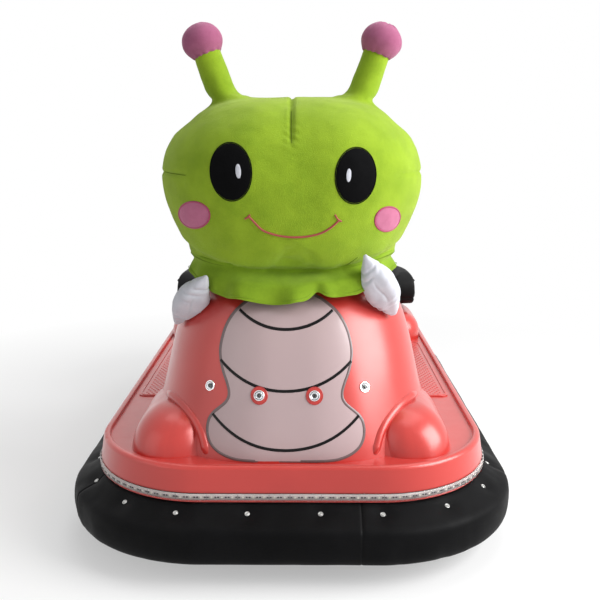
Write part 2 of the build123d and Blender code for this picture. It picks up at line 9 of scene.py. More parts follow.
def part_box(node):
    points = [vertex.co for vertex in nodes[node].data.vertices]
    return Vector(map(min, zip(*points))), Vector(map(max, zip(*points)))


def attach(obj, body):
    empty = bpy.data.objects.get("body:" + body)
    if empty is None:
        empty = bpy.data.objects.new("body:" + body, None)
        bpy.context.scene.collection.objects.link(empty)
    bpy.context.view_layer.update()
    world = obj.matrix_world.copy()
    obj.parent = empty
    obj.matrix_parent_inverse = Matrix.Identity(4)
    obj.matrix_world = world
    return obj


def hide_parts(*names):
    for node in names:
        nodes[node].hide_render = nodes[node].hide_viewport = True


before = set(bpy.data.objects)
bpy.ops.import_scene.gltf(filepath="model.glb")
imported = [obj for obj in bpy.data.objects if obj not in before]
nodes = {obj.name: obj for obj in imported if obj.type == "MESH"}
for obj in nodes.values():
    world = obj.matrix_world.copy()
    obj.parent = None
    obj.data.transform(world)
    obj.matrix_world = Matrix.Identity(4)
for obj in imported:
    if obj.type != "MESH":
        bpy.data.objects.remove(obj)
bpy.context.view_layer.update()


# Small helpers for meshes

def meshPiece(name, points, faces, finish, smooth=True):
    mesh = bpy.data.meshes.new(name)
    mesh.from_pydata([tuple(p) for p in points], [], faces)
    mesh.validate()
    mesh.materials.append(finish)
    mesh.polygons.foreach_set("use_smooth", [smooth] * len(mesh.polygons))
    mesh.update()
    piece = bpy.data.objects.new(name, mesh)
    bpy.context.scene.collection.objects.link(piece)
    return piece


def gridFaces(rows, columns, wrapRows=False, wrapColumns=False, first=0):
    faces = []
    for r in range(rows if wrapRows else rows - 1):
        for c in range(columns if wrapColumns else columns - 1):
            a = first + r * columns + c
            b = first + r * columns + (c + 1) % columns
            d = first + ((r + 1) % rows) * columns + c
            e = first + ((r + 1) % rows) * columns + (c + 1) % columns
            faces.append((a, b, e, d))
    return faces


def fanFaces(rings, count):
    # Rings of points round one first point.
    fan = [(0, 1 + s, 1 + (s + 1) % count) for s in range(count)]
    return fan + gridFaces(rings, count, wrapColumns=True, first=1)


def merged(parts):
    # One list of points and one of faces from several shapes.
    points, faces = [], []
    for partPoints, partFaces in parts:
        first = len(points)
        points += partPoints
        faces += [tuple(first + i for i in face) for face in partFaces]
    return points, faces


def turnOutward(piece):
    edit = bmesh.new()
    edit.from_mesh(piece.data)
    bmesh.ops.recalc_face_normals(edit, faces=edit.faces)
    edit.to_mesh(piece.data)
    edit.free()


def roundEdges(piece, degrees=35):
    # Smooth shading with creases kept at sharp edges.
    edit = bmesh.new()
    edit.from_mesh(piece.data)
    for edge in edit.edges:
        if len(edge.link_faces) == 2 and edge.calc_face_angle(0.0) > math.radians(degrees):
            edge.smooth = False
    edit.to_mesh(piece.data)
    edit.free()


def settle(piece, body, slot, *replaced):
    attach(piece, body)
    if replaced:
        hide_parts(*replaced)
    return piece


def addPiece(name, points, faces, finish, body, slot, *replaced, smooth=True):
    # A piece that faces outward, on its body.
    piece = meshPiece(name, points, faces, finishes[finish], smooth)
    turnOutward(piece)
    return settle(piece, body, slot, *replaced)


def useModifier(piece, kind, **settings):
    modifier = piece.modifiers.new(kind.title(), kind)
    for key, value in settings.items():
        setattr(modifier, key, value)


def bake(piece):
    # Applies every modifier on the piece.
    view = bpy.context.evaluated_depsgraph_get()
    mesh = bpy.data.meshes.new_from_object(piece.evaluated_get(view), depsgraph=view)
    old = piece.data
    piece.modifiers.clear()
    piece.data = mesh
    mesh.name = old.name
    bpy.data.meshes.remove(old)


def copyOfNodes(name, nodeNames, finish):
    # One new mesh from the solids of these nodes.
    meshes = [nodes[n].data for n in nodeNames]
    parts = [([v.co.copy() for v in m.vertices], [tuple(p.vertices) for p in m.polygons]) for m in meshes]
    return meshPiece(name, *merged(parts), finishes[finish])


def surfaceOf(piece):
    return BVHTree.FromObject(piece, bpy.context.evaluated_depsgraph_get())


def boxOf(node):
    return [Vector(corner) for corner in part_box(node)]


def hitAlong(surface, start, way):
    place, normal, index, distance = surface.ray_cast(start, way)
    return place, normal


def hitFromFront(surface, x, z, ahead=0.9):
    # Where the surface is met from the front, and its normal turned to the front.
    place, normal = hitAlong(surface, Vector((x, -ahead, z)), Vector((0, 1, 0)))
    if place is not None and normal.y > 0:
        normal = -normal
    return place, normal


def smoothStep(low, high, value):
    t = min(1.0, max(0.0, (value - low) / (high - low)))
    return t * t * (3 - 2 * t)


def bell(distance, width):
    return math.exp(-(distance / width) ** 2)


# Shader effects that several materials share

def newNode(tree, kind, **settings):
    node = tree.nodes.new("ShaderNode" + kind)
    for key, value in settings.items():
        setattr(node, key, value)
    return node


def nodeOf(tree, kind):
    return next(n for n in tree.nodes if n.type.startswith(kind))


def effectGroup(name, inputs, outputs):
    tree = bpy.data.node_groups.new(name, "ShaderNodeTree")
    for label, kind, default in inputs:
        socket = tree.interface.new_socket(name=label, in_out="INPUT", socket_type="NodeSocket" + kind)
        socket.default_value = default
    for label, kind in outputs:
        tree.interface.new_socket(name=label, in_out="OUTPUT", socket_type="NodeSocket" + kind)
    return tree, tree.nodes.new("NodeGroupInput"), tree.nodes.new("NodeGroupOutput")


def feed(tree, socket, value):
    # Links a socket's value or sets a plain one.
    if isinstance(value, bpy.types.NodeSocket):
        tree.links.new(value, socket)
    else:
        socket.default_value = value


def mixColour(tree, factor, first, second):
    node = newNode(tree, "Mix", data_type="RGBA")
    for number, value in ((0, factor), (6, first), (7, second)):
        feed(tree, node.inputs[number], value)
    return node.outputs[2]


def calculate(tree, operation, first, second=0.0, clamp=False):
    node = newNode(tree, "Math", operation=operation, use_clamp=clamp)
    feed(tree, node.inputs[0], first)
    feed(tree, node.inputs[1], second)
    return node.outputs[0]


def remap(tree, value, low, high, toLow, toHigh):
    node = newNode(tree, "MapRange")
    for label, number in (("Value", value), ("From Min", low), ("From Max", high),
                          ("To Min", toLow), ("To Max", toHigh)):
        feed(tree, node.inputs[label], number)
    return node.outputs["Result"]


def noiseAt(tree, scale, detail, roughness=0.5):
    node = newNode(tree, "TexNoise")
    place = newNode(tree, "TexCoord").outputs["Object"]
    for label, value in (("Vector", place), ("Scale", scale), ("Detail", detail), ("Roughness", roughness)):
        feed(tree, node.inputs[label], value)
    return node.outputs[0]


def closeGroup(tree, end, *results):
    for socket, value in zip(end.inputs, results):
        tree.links.new(value, socket)
    return tree


def buildPile():
    # Short plush: brushed patches over a fine fuzz.
    tree, start, end = effectGroup(
        "shortPile",
        [("Colour", "Color", (1, 1, 1, 1)), ("Deep Colour", "Color", (0, 0, 0, 1)),
         ("Fuzz Scale", "Float", 900.0), ("Patch Scale", "Float", 30.0)],
        [("Colour", "Color"), ("Height", "Float")])
    fuzz = noiseAt(tree, start.outputs["Fuzz Scale"], 3.0, 0.7)
    patches = noiseAt(tree, start.outputs["Patch Scale"], 4.0, 0.6)
    depth = calculate(tree, "ADD", remap(tree, fuzz, 0.3, 0.7, 0.0, 0.45),
                      remap(tree, patches, 0.35, 0.7, 0.0, 0.55))
    colour = mixColour(tree, depth, start.outputs["Colour"], start.outputs["Deep Colour"])
    height = calculate(tree, "ADD", fuzz, calculate(tree, "MULTIPLY", patches, 0.8))
    return closeGroup(tree, end, colour, height)


def buildGrain():
    # Leather-cloth: pebbled cells, soft creases and a little wear.
    tree, start, end = effectGroup(
        "clothGrain",
        [("Colour", "Color", (1, 1, 1, 1)), ("Worn Colour", "Color", (0, 0, 0, 1)),
         ("Cell Scale", "Float", 700.0), ("Crease Scale", "Float", 20.0)],
        [("Colour", "Color"), ("Roughness", "Float"), ("Height", "Float")])
    place = newNode(tree, "TexCoord").outputs["Object"]
    cells = newNode(tree, "TexVoronoi", feature="SMOOTH_F1")
    tree.links.new(place, cells.inputs["Vector"])
    tree.links.new(start.outputs["Cell Scale"], cells.inputs["Scale"])
    creases = noiseAt(tree, start.outputs["Crease Scale"], 4.0, 0.6)
    wear = remap(tree, noiseAt(tree, 9.0, 5.0, 0.65), 0.45, 0.75, 0.0, 1.0)
    colour = mixColour(tree, wear, start.outputs["Colour"], start.outputs["Worn Colour"])
    rough = remap(tree, creases, 0.3, 0.7, 0.46, 0.62)
    height = calculate(tree, "ADD", calculate(tree, "MULTIPLY", cells.outputs["Distance"], -0.35),
                       calculate(tree, "MULTIPLY", creases, 0.9))
    return closeGroup(tree, end, colour, rough, height)


def buildGloss():
    # Moulded gel coat: faint clouds, a ripple and fine dust scratches.
    tree, start, end = effectGroup(
        "gelCoat",
        [("Colour", "Color", (1, 1, 1, 1)), ("Cloud Colour", "Color", (1, 1, 1, 1)),
         ("Cloud Scale", "Float", 7.0), ("Ripple Scale", "Float", 45.0),
         ("Low Roughness", "Float", 0.2), ("High Roughness", "Float", 0.35)],
        [("Colour", "Color"), ("Roughness", "Float"), ("Height", "Float")])
    clouds = noiseAt(tree, start.outputs["Cloud Scale"], 3.0, 0.5)
    ripple = noiseAt(tree, start.outputs["Ripple Scale"], 1.0, 0.4)
    dust = noiseAt(tree, 34.0, 5.0, 0.6)
    colour = mixColour(tree, remap(tree, clouds, 0.35, 0.65, 0.0, 1.0), start.outputs["Colour"],
                       start.outputs["Cloud Colour"])
    rough = remap(tree, dust, 0.35, 0.7, start.outputs["Low Roughness"], start.outputs["High Roughness"])
    return closeGroup(tree, end, colour, rough, ripple)


def buildWear():
    # Plain hard surfaces: a fine texture, with lighter worn edges.
    tree, start, end = effectGroup(
        "edgeWear",
        [("Colour", "Color", (1, 1, 1, 1)), ("Edge Colour", "Color", (1, 1, 1, 1)),
         ("Texture Scale", "Float", 300.0), ("Low Roughness", "Float", 0.3), ("High Roughness", "Float", 0.6)],
        [("Colour", "Color"), ("Roughness", "Float"), ("Height", "Float")])
    texture = noiseAt(tree, start.outputs["Texture Scale"], 4.0, 0.6)
    grime = noiseAt(tree, 14.0, 5.0, 0.6)
    edge = remap(tree, newNode(tree, "NewGeometry").outputs["Pointiness"], 0.52, 0.6, 0.0, 0.8)
    edge = calculate(tree, "MULTIPLY", edge, remap(tree, grime, 0.35, 0.6, 0.2, 1.0), clamp=True)
    colour = mixColour(tree, edge, start.outputs["Colour"], start.outputs["Edge Colour"])
    rough = remap(tree, grime, 0.3, 0.7, start.outputs["Low Roughness"], start.outputs["High Roughness"])
    return closeGroup(tree, end, colour, rough, texture)


effects = {"pile": buildPile(), "grain": buildGrain(), "gloss": buildGloss(), "wear": buildWear()}


def makeFinish(effect, name, values, bump, shader):
    # A material with one shared effect.
    material = bpy.data.materials.new(name)
    material.use_nodes = True
    tree = material.node_tree
    surface = nodeOf(tree, "BSDF_PRINCIPLED")
    group = tree.nodes.new("ShaderNodeGroup")
    group.node_tree = effects[effect]
    for socket, value in zip(group.inputs, values):
        socket.default_value = value
    raised = newNode(tree, "Bump")
    raised.inputs["Strength"].default_value, raised.inputs["Distance"].default_value = bump
    tree.links.new(group.outputs["Colour"], surface.inputs["Base Color"])
    tree.links.new(group.outputs["Height"], raised.inputs["Height"])
    tree.links.new(raised.outputs["Normal"], surface.inputs["Normal"])
    if "Roughness" in group.outputs:
        tree.links.new(group.outputs["Roughness"], surface.inputs["Roughness"])
    for label, value in shader.items():
        surface.inputs[label].default_value = value
    return material


def rgb(red, green, blue):
    return (red, green, blue, 1.0)


pilePlush = {"Roughness": 0.92, "Sheen Weight": 0.32, "Sheen Roughness": 0.45, "Specular IOR Level": 0.25}
finishTable = {
    # name, (values of the effect), (bump strength, depth in metres), shader values
    "pile": (
        # colour, deep colour, fuzz scale, patch scale
        ("greenPlush", (rgb(0.315, 0.470, 0.022), rgb(0.190, 0.310, 0.010), 620.0, 22.0), (0.75, 0.0014),
         {**pilePlush, "Sheen Tint": rgb(0.90, 1.0, 0.45)}),
        ("greenCloth", (rgb(0.255, 0.405, 0.018), rgb(0.150, 0.260, 0.009), 1100.0, 30.0), (0.45, 0.0008),
         {**pilePlush, "Sheen Tint": rgb(0.85, 1.0, 0.40)}),
        # darker green thread colour: partly the thread, partly painted shade for seam grooves and a chin crease
        ("greenSeam", (rgb(0.120, 0.195, 0.012), rgb(0.075, 0.125, 0.007), 1500.0, 60.0), (0.4, 0.0004),
         {"Roughness": 0.95, "Specular IOR Level": 0.2}),
        ("pinkPlush", (rgb(0.40, 0.120, 0.225), rgb(0.29, 0.075, 0.150), 850.0, 40.0), (0.5, 0.0010),
         {**pilePlush, "Sheen Tint": rgb(1.0, 0.7, 0.85)}),
        ("cheekPlush", (rgb(0.53, 0.17, 0.28), rgb(0.42, 0.12, 0.21), 1200.0, 60.0), (0.4, 0.0006),
         {**pilePlush, "Sheen Tint": rgb(1.0, 0.7, 0.85)}),
        ("cheekThread", (rgb(0.42, 0.045, 0.120), rgb(0.34, 0.035, 0.095), 1500.0, 200.0), (0.5, 0.0005),
         {"Roughness": 0.55, "Sheen Weight": 0.2, "Specular IOR Level": 0.4}),
        ("mouthThread", (rgb(0.40, 0.060, 0.050), rgb(0.32, 0.045, 0.040), 1500.0, 200.0), (0.5, 0.0005),
         {"Roughness": 0.55, "Sheen Weight": 0.2, "Specular IOR Level": 0.4}),
        ("eyeVelvet", (rgb(0.0018, 0.0018, 0.0021), rgb(0.0040, 0.0040, 0.0046), 1300.0, 60.0),
         (0.3, 0.0005), {"Roughness": 0.85, "Sheen Weight": 0.0, "Specular IOR Level": 0.06}),
        ("eyeGlint", (rgb(0.62, 0.63, 0.68), rgb(0.45, 0.46, 0.52), 1400.0, 150.0), (0.4, 0.0004),
         {"Roughness": 0.6, "Sheen Weight": 0.2, "Specular IOR Level": 0.4}),
        ("mittCloth", (rgb(0.66, 0.67, 0.72), rgb(0.50, 0.51, 0.57), 1500.0, 55.0), (0.35, 0.0006),
         {"Roughness": 0.8, "Sheen Weight": 0.35, "Sheen Roughness": 0.5, "Specular IOR Level": 0.3}),
    ),
    "grain": (
        # colour, worn colour, cell scale, crease scale
        ("bumperCloth", (rgb(0.0012, 0.0012, 0.0015), rgb(0.0035, 0.0035, 0.0040), 650.0, 16.0),
         (0.35, 0.0009), {"Specular IOR Level": 0.08}),
        ("padCloth", (rgb(0.0026, 0.0026, 0.0030), rgb(0.0060, 0.0058, 0.0062), 800.0, 24.0), (0.3, 0.0007),
         {"Specular IOR Level": 0.16}),
    ),
    "gloss": (
        # colour, cloud colour, cloud scale, ripple scale, low and high roughness
        ("pearlPink", (rgb(0.560, 0.036, 0.027), rgb(0.500, 0.029, 0.021), 6.0, 38.0, 0.3, 0.38),
         (0.05, 0.0012),
         {"Metallic": 0.1, "Coat Weight": 0.8, "Coat Roughness": 0.27, "Sheen Weight": 0.22,
          "Sheen Roughness": 0.35, "Sheen Tint": rgb(1.0, 0.62, 0.64), "Specular IOR Level": 0.32}),
        ("stickerField", (rgb(0.475, 0.350, 0.355), rgb(0.450, 0.330, 0.336), 5.0, 25.0, 0.31, 0.35),
         (0.06, 0.0008), {"Coat Weight": 0.4, "Coat Roughness": 0.12}),
        ("stickerEdge", (rgb(0.145, 0.095, 0.095), rgb(0.12, 0.08, 0.08), 9.0, 40.0, 0.25, 0.4),
         (0.05, 0.0005), {"Coat Weight": 0.3}),
        ("lampRing", (rgb(0.50, 0.022, 0.020), rgb(0.42, 0.018, 0.016), 20.0, 60.0, 0.3, 0.42),
         (0.05, 0.0004), {"Coat Weight": 0.3}),
        ("stickerArc", (rgb(0.0015, 0.0010, 0.0012), rgb(0.0025, 0.0018, 0.0020), 9.0, 40.0, 0.25, 0.4),
         (0.05, 0.0005), {"Coat Weight": 0.1, "Specular IOR Level": 0.15}),
        ("greenButton", (rgb(0.020, 0.260, 0.050), rgb(0.015, 0.220, 0.040), 60.0, 200.0, 0.25, 0.35),
         (0.05, 0.0003), {"Coat Weight": 0.3}),
        ("clearLens", (rgb(0.96, 0.97, 0.98), rgb(0.93, 0.95, 0.96), 60.0, 500.0, 0.03, 0.08),
         (0.15, 0.0004), {"Transmission Weight": 1.0, "IOR": 1.49}),
        ("clearSleeve", (rgb(0.96, 0.95, 0.94), rgb(0.93, 0.92, 0.91), 12.0, 60.0, 0.03, 0.07),
         (0.02, 0.0002), {"Transmission Weight": 0.96, "IOR": 1.20}),
    ),
    "wear": (
        # colour, edge colour, texture scale, low and high roughness
        ("blackPaint", (rgb(0.018, 0.018, 0.020), rgb(0.045, 0.045, 0.046), 350.0, 0.35, 0.55),
         (0.12, 0.0005), {"Specular IOR Level": 0.5}),
        ("zincSteel", (rgb(0.42, 0.42, 0.41), rgb(0.66, 0.66, 0.64), 240.0, 0.25, 0.45), (0.08, 0.0004),
         {"Metallic": 1.0}),
        ("castMetal", (rgb(0.36, 0.37, 0.38), rgb(0.58, 0.58, 0.58), 420.0, 0.4, 0.6), (0.35, 0.0006),
         {"Metallic": 0.9}),
        ("tyreRubber", (rgb(0.020, 0.020, 0.020), rgb(0.075, 0.070, 0.065), 500.0, 0.7, 0.9), (0.3, 0.0006),
         {"Specular IOR Level": 0.3}),
        ("hubPlastic", (rgb(0.30, 0.30, 0.31), rgb(0.50, 0.50, 0.50), 600.0, 0.45, 0.6), (0.15, 0.0004),
         {"Specular IOR Level": 0.4}),
        ("blackPlastic", (rgb(0.012, 0.012, 0.013), rgb(0.045, 0.045, 0.046), 900.0, 0.38, 0.52),
         (0.3, 0.0004), {"Specular IOR Level": 0.5}),
        ("matRubber", (rgb(0.022, 0.022, 0.022), rgb(0.08, 0.075, 0.07), 450.0, 0.75, 0.92), (0.4, 0.0007),
         {"Specular IOR Level": 0.25}),
        ("batteryPlastic", (rgb(0.030, 0.034, 0.042), rgb(0.10, 0.10, 0.11), 700.0, 0.4, 0.6),
         (0.2, 0.0004), {"Specular IOR Level": 0.45}),
        ("tapeWhite", (rgb(0.46, 0.41, 0.40), rgb(0.40, 0.35, 0.34), 900.0, 0.4, 0.55), (0.05, 0.0002),
         {"Specular IOR Level": 0.4}),
        ("chipYellow", (rgb(0.62, 0.60, 0.48), rgb(0.8, 0.8, 0.8), 900.0, 0.25, 0.4), (0.05, 0.0002),
         {"Specular IOR Level": 0.5}),
        ("chipDark", (rgb(0.020, 0.016, 0.016), rgb(0.030, 0.024, 0.024), 900.0, 0.4, 0.55), (0.05, 0.0002),
         {"Specular IOR Level": 0.5}),
        ("lampMirror", (rgb(0.85, 0.86, 0.88), rgb(0.95, 0.95, 0.95), 500.0, 0.12, 0.22), (0.05, 0.0002),
         {"Metallic": 1.0}),
    ),
}
finishes = {row[0]: makeFinish(effect, *row) for effect, rows in finishTable.items() for row in rows}

print("finishes made:", len(finishes))

# CAD nodes that keep their shape get their finish here

nodeFinishes = {
    "pearlPink": ["deck_shell", "cowl_shell", "seat_moulding", "footwell_tray"],
    "blackPlastic": ["bulkhead", "dash_panel", "foot_pedal", "column_bearing", "steering_wheel"],
    "zincSteel": ["drive_fork", "rear_axle", "steering_column"],
    "castMetal": ["drive_motor_drum", "steering_box", "speed_controller"],
    "tyreRubber": ["drive_tyre", "rear_tyre_left", "rear_tyre_right"],
    "hubPlastic": ["rear_hub_left", "rear_hub_right"],
    "matRubber": ["footwell_mat"],
    "batteryPlastic": ["batteries"],
    "bumperCloth": ["bumper_ring"],
    "padCloth": ["backrest_pad", "seat_cushion"],
    "greenPlush": ["plush_head", "antenna_stalks"],
    "greenCloth": ["collar"],
    "pinkPlush": ["antenna_balls"],
    "mittCloth": ["mitt_left", "mitt_right"],
    "tapeWhite": ["light_strip"],
    "clearLens": ["lamp_lenses"],
}
finishOfNode = {node: finish for finish, members in nodeFinishes.items() for node in members}
for nodeName, node in nodes.items():
    node.data.materials.clear()
    node.data.materials.append(finishes[finishOfNode.get(nodeName, "blackPaint")])


# Paths and sweeps that go round the car

def ringLength(halfX, halfY, corner):
    return 4 * (halfX - corner) + 4 * (halfY - corner) + 2 * math.pi * corner


def ringPlace(along, halfX, halfY, corner):
    # Place and outward direction on a rounded rectangle; along starts mid-front and runs towards +X.
    total = ringLength(halfX, halfY, corner)
    along = (along + total / 2) % total - total / 2
    side = 1 if along >= 0 else -1
    left = abs(along)
    straightX, straightY, arc = halfX - corner, halfY - corner, math.pi / 2 * corner
    if left <= straightX:
        x, y, nx, ny = left, -halfY, 0.0, -1.0
    elif left <= straightX + arc:
        turn = (left - straightX) / corner
        nx, ny = math.sin(turn), -math.cos(turn)
        x, y = straightX + corner * nx, -straightY + corner * ny
    elif left <= straightX + arc + 2 * straightY:
        x, y, nx, ny = halfX, -straightY + left - straightX - arc, 1.0, 0.0
    elif left <= straightX + 2 * arc + 2 * straightY:
        turn = (left - straightX - arc - 2 * straightY) / corner
        nx, ny = math.cos(turn), math.sin(turn)
        x, y = straightX + corner * nx, straightY + corner * ny
    else:
        x, y, nx, ny = straightX - (left - straightX - 2 * arc - 2 * straightY), halfY, 0.0, 1.0
    return side * x, y, side * nx, ny


def crossways(heading):
    # Two directions at right angles to a heading.
    across = heading.cross(Vector((0, 0, 1)))
    across = (across if across.length > 0.01 else heading.cross(Vector((0, 1, 0)))).normalized()
    return across, across.cross(heading)


def circleRound(middle, across, up, radius, sides):
    turns = [2 * math.pi * s / sides for s in range(sides)]
    return [middle + (across * math.cos(turn) + up * math.sin(turn)) * radius for turn in turns]


def tubeAlong(places, radius, sides=8, closed=False):
    # Points and faces of a round tube through these places.
    points = []
    count = len(places)
    for i, place in enumerate(places):
        before = places[i - 1] if i or closed else place
        after = places[(i + 1) % count] if i + 1 < count or closed else place
        points += circleRound(place, *crossways((after - before).normalized()), radius, sides)
    faces = gridFaces(count, sides, wrapRows=closed, wrapColumns=True)
    if not closed:
        faces.append(tuple(reversed(range(sides))))
        faces.append(tuple(range((count - 1) * sides, count * sides)))
    return points, faces


def latheMesh(profile, sides, origin, axis, closed=False, radius=1.0):
    # A turned shape; profile rows are distance along the axis and a share of the radius.
    axis = Vector(axis).normalized()
    across, up = crossways(axis)
    points = []
    for along, share in profile:
        points += circleRound(origin + axis * along, across, up, share * radius, sides)
    faces = gridFaces(len(profile), sides, wrapRows=closed, wrapColumns=True)
    if not closed:
        faces.append(tuple(range(sides)))
        faces.append(tuple(reversed(range((len(profile) - 1) * sides, len(profile) * sides))))
    return points, faces


# Foam bumper with its cover, screws and washers

bumper = {
    "ring": (0.392, 0.625, 0.248),      # half width, half length, corner
    "columnStep": 0.0062,
    "lump": 0.0011, "lumpSize": 0.085, "lumpFiner": 2.3,    # how uneven the cover lies
    "inShape": (0.050, 0.040),          # less inset and higher than this, the cover is uneven
    "slope": (0.48, 0.877), "slopeFrom": 0.1015,    # outward and up, on the upper face
    "dimpleDeep": 0.0042, "dimpleWide": 0.017, "dimpleHeight": 0.117, "dimpleReach": 0.06,
    "dimpleSquash": 1.1,
    "screwInset": 0.033, "screwHeight": 0.119, "screwStep": 0.107,
    "frontScrews": (-0.281, -0.182, -0.0675, 0.0485, 0.147, 0.260, 0.367),
    "seams": (0.113, -0.42, 1.55, -1.42), "seamDeep": 0.0016, "seamWide": 0.0016,
    "seamColumns": (-0.003, -0.0012, 0.0, 0.0012, 0.003), "seamClear": 0.004,
    "wrinkleDeep": 0.0016, "wrinkleStraight": 0.25,     # share of the wrinkles away from the corners
    "wrinkleFine": (26, 9, 3), "wrinkleFrom": (2.2, 0.55),      # along, up, slant; gain and threshold
    "cornerFrom": 0.05, "screwReach": 0.03, "screwLift": 0.0002,
    "washer": ((-0.0008, 0.0040), (0.0004, 0.0041), (0.0009, 0.0036), (0.0004, 0.0028), (-0.0006, 0.0026)),
    "screw": ((-0.0004, 0.0024), (0.0007, 0.0023), (0.0012, 0.0018), (0.0012, 0.0012), (0.0002, 0.0009),
              (-0.0002, 0.0004)),
}
bumperProfile = (
    # inset from the outside, height
    (0.096, 0.044), (0.0955, 0.0405), (0.093, 0.038), (0.075, 0.038), (0.055, 0.038), (0.035, 0.0382),
    (0.020, 0.0388), (0.0125, 0.0405), (0.0070, 0.0440), (0.0030, 0.0495), (0.0005, 0.0570), (-0.0010, 0.0660),
    (-0.0014, 0.0760), (-0.0010, 0.0860), (0.0002, 0.0940), (0.0022, 0.0995), (0.0060, 0.1032), (0.0110, 0.1062),
    (0.0170, 0.1096), (0.0230, 0.1132), (0.0290, 0.1168), (0.0350, 0.1202), (0.0405, 0.1238), (0.0450, 0.1268),
    (0.0490, 0.1284), (0.0540, 0.1290), (0.0700, 0.1290), (0.0860, 0.1290), (0.0930, 0.1288), (0.0955, 0.1270),
    (0.0960, 0.1200), (0.0960, 0.0900), (0.0960, 0.0600),
)


def screwPlaces():
    # The seven screws seen in the photo, then even ones round the rest.
    line = [size - bumper["screwInset"] for size in bumper["ring"]]
    first, last = bumper["frontScrews"][0], bumper["frontScrews"][-1]
    gap = ringLength(*line) - (last - first)
    count = round(gap / bumper["screwStep"])
    places = []
    for along in list(bumper["frontScrews"]) + [last + gap * i / count for i in range(1, count)]:
        x, y, nx, ny = ringPlace(along, *line)
        places.append((Vector((x, y, bumper["screwHeight"])), Vector((nx, ny, 0))))
    return places


def upperFace(out):
    return out * bumper["slope"][0] + Vector((0, 0, bumper["slope"][1]))


def coverPush(place, along, height, turning, screws):
    # How far the cover stands out: lumps, pulled wrinkles, dimples at the screws and sewn seams.
    spot = place / bumper["lumpSize"]
    push = bumper["lump"] * (noise.noise(spot) + 0.5 * noise.noise(spot * bumper["lumpFiner"]))
    fineAlong, fineUp, slant = bumper["wrinkleFine"]
    gain, least = bumper["wrinkleFrom"]
    crease = noise.noise(Vector((along * fineAlong, height * fineUp + along * slant, 3.0)))
    share = 1.0 if turning else bumper["wrinkleStraight"]
    push -= bumper["wrinkleDeep"] * share * max(0.0, abs(crease) * gain - least)
    for screw in screws:
        reach = (place.xy - screw.xy).length
        if reach < bumper["dimpleReach"]:
            reach = math.hypot(reach, (height - bumper["dimpleHeight"]) * bumper["dimpleSquash"])
            push -= bumper["dimpleDeep"] * bell(reach, bumper["dimpleWide"])
    for seam in bumper["seams"]:
        push -= bumper["seamDeep"] * bell(along - seam, bumper["seamWide"])
    return push


def buildBumper():
    total = ringLength(*bumper["ring"])
    count = round(total / bumper["columnStep"])
    stops = [total * i / count - total / 2 for i in range(count)]
    for seam in bumper["seams"]:
        stops = [s for s in stops if abs(s - seam) > bumper["seamClear"]]
        stops += [seam + d for d in bumper["seamColumns"]]
    stops.sort()
    screws = [place for place, out in screwPlaces()]
    mostInset, leastHeight = bumper["inShape"]
    points = []
    for inset, height in bumperProfile:
        for along in stops:
            x, y, nx, ny = ringPlace(along, *bumper["ring"])
            out = Vector((nx, ny, 0))
            place = Vector((x, y, height)) - out * inset
            push = 0.0
            if inset < mostInset and height > leastHeight:
                turning = min(abs(nx), abs(ny)) > bumper["cornerFrom"]
                push = coverPush(place, along, height, turning, screws)
            points.append(place + (out if height < bumper["slopeFrom"] else upperFace(out)) * push)
    piece = addPiece("bumperCover", points, gridFaces(len(bumperProfile), len(stops), True, True), "bumperCloth",
                     "car", "black_leathercloth", "bumper_ring")
    return piece


def buildScrews(cover):
    surface = surfaceOf(cover)
    washers, screws = [], []
    for place, out in screwPlaces():
        slope = upperFace(out).normalized()
        hit, normal = hitAlong(surface, place + slope * bumper["screwReach"], -slope)
        seat = hit + slope * bumper["screwLift"]
        washers.append(latheMesh(bumper["washer"], 20, seat, slope))
        screws.append(latheMesh(bumper["screw"], 16, seat, slope))
    addPiece("bumperWashers", *merged(washers), "zincSteel", "car", "bright_steel")
    roundEdges(addPiece("bumperScrews", *merged(screws), "zincSteel", "car", "bright_steel"))


bumperCover = buildBumper()
buildScrews(bumperCover)
print("bumper made")


# Light strip: tape, lamps, resistors and the clear sleeve over them

strip = {
    "ring": (0.343, 0.576, 0.199), "columnStep": 0.008,
    "low": 0.1315, "high": 0.1445, "deep": 0.0035,
    "tapeHalf": 0.0048, "tapeOut": (0.0003, 0.0007),
    "lampStep": 1 / 60, "lampHalf": 0.0023, "lampDeep": 0.0013,
    "glowHalf": 0.0016, "glowOut": (0.0019, 0.0021),
    "markHalf": (0.0016, 0.0012), "markAside": 0.0023, "markOut": (0.0007, 0.0014),
    "cutHalf": 0.0003, "cutOut": (0.0007, 0.00085), "lampsACut": 3,
    "lampBevel": 0.0002, "glowBevel": 0.0003, "markBevel": 0.0001,
    # share of the depth, share of the half height
    "sleeve": ((0.55, 1.0), (0.9, 0.86), (1.0, 0.6)), "sleeveBack": 0.0001,
}


def stripBand(name, rows, finish, *replaced):
    total = ringLength(*strip["ring"])
    count = round(total / strip["columnStep"])
    points = []
    for out, height in rows:
        for i in range(count):
            x, y, nx, ny = ringPlace(total * i / count, *strip["ring"])
            points.append((x + nx * out, y + ny * out, height))
    addPiece(name, points, gridFaces(len(rows), count, True, True), finish, "car", "light_sleeve", *replaced)


def chipOnTape(along, halves, outs, height, inset):
    points = []
    for out, shrink in zip(outs, (0.0, inset)):
        for a, h in ((-1, -1), (1, -1), (1, 1), (-1, 1)):
            x, y, nx, ny = ringPlace(along + a * (halves[0] - shrink), *strip["ring"])
            points.append(Vector((x + nx * out, y + ny * out, height + h * (halves[1] - shrink))))
    return points, [(0, 1, 5, 4), (1, 2, 6, 5), (2, 3, 7, 6), (3, 0, 4, 7), (4, 5, 6, 7)]


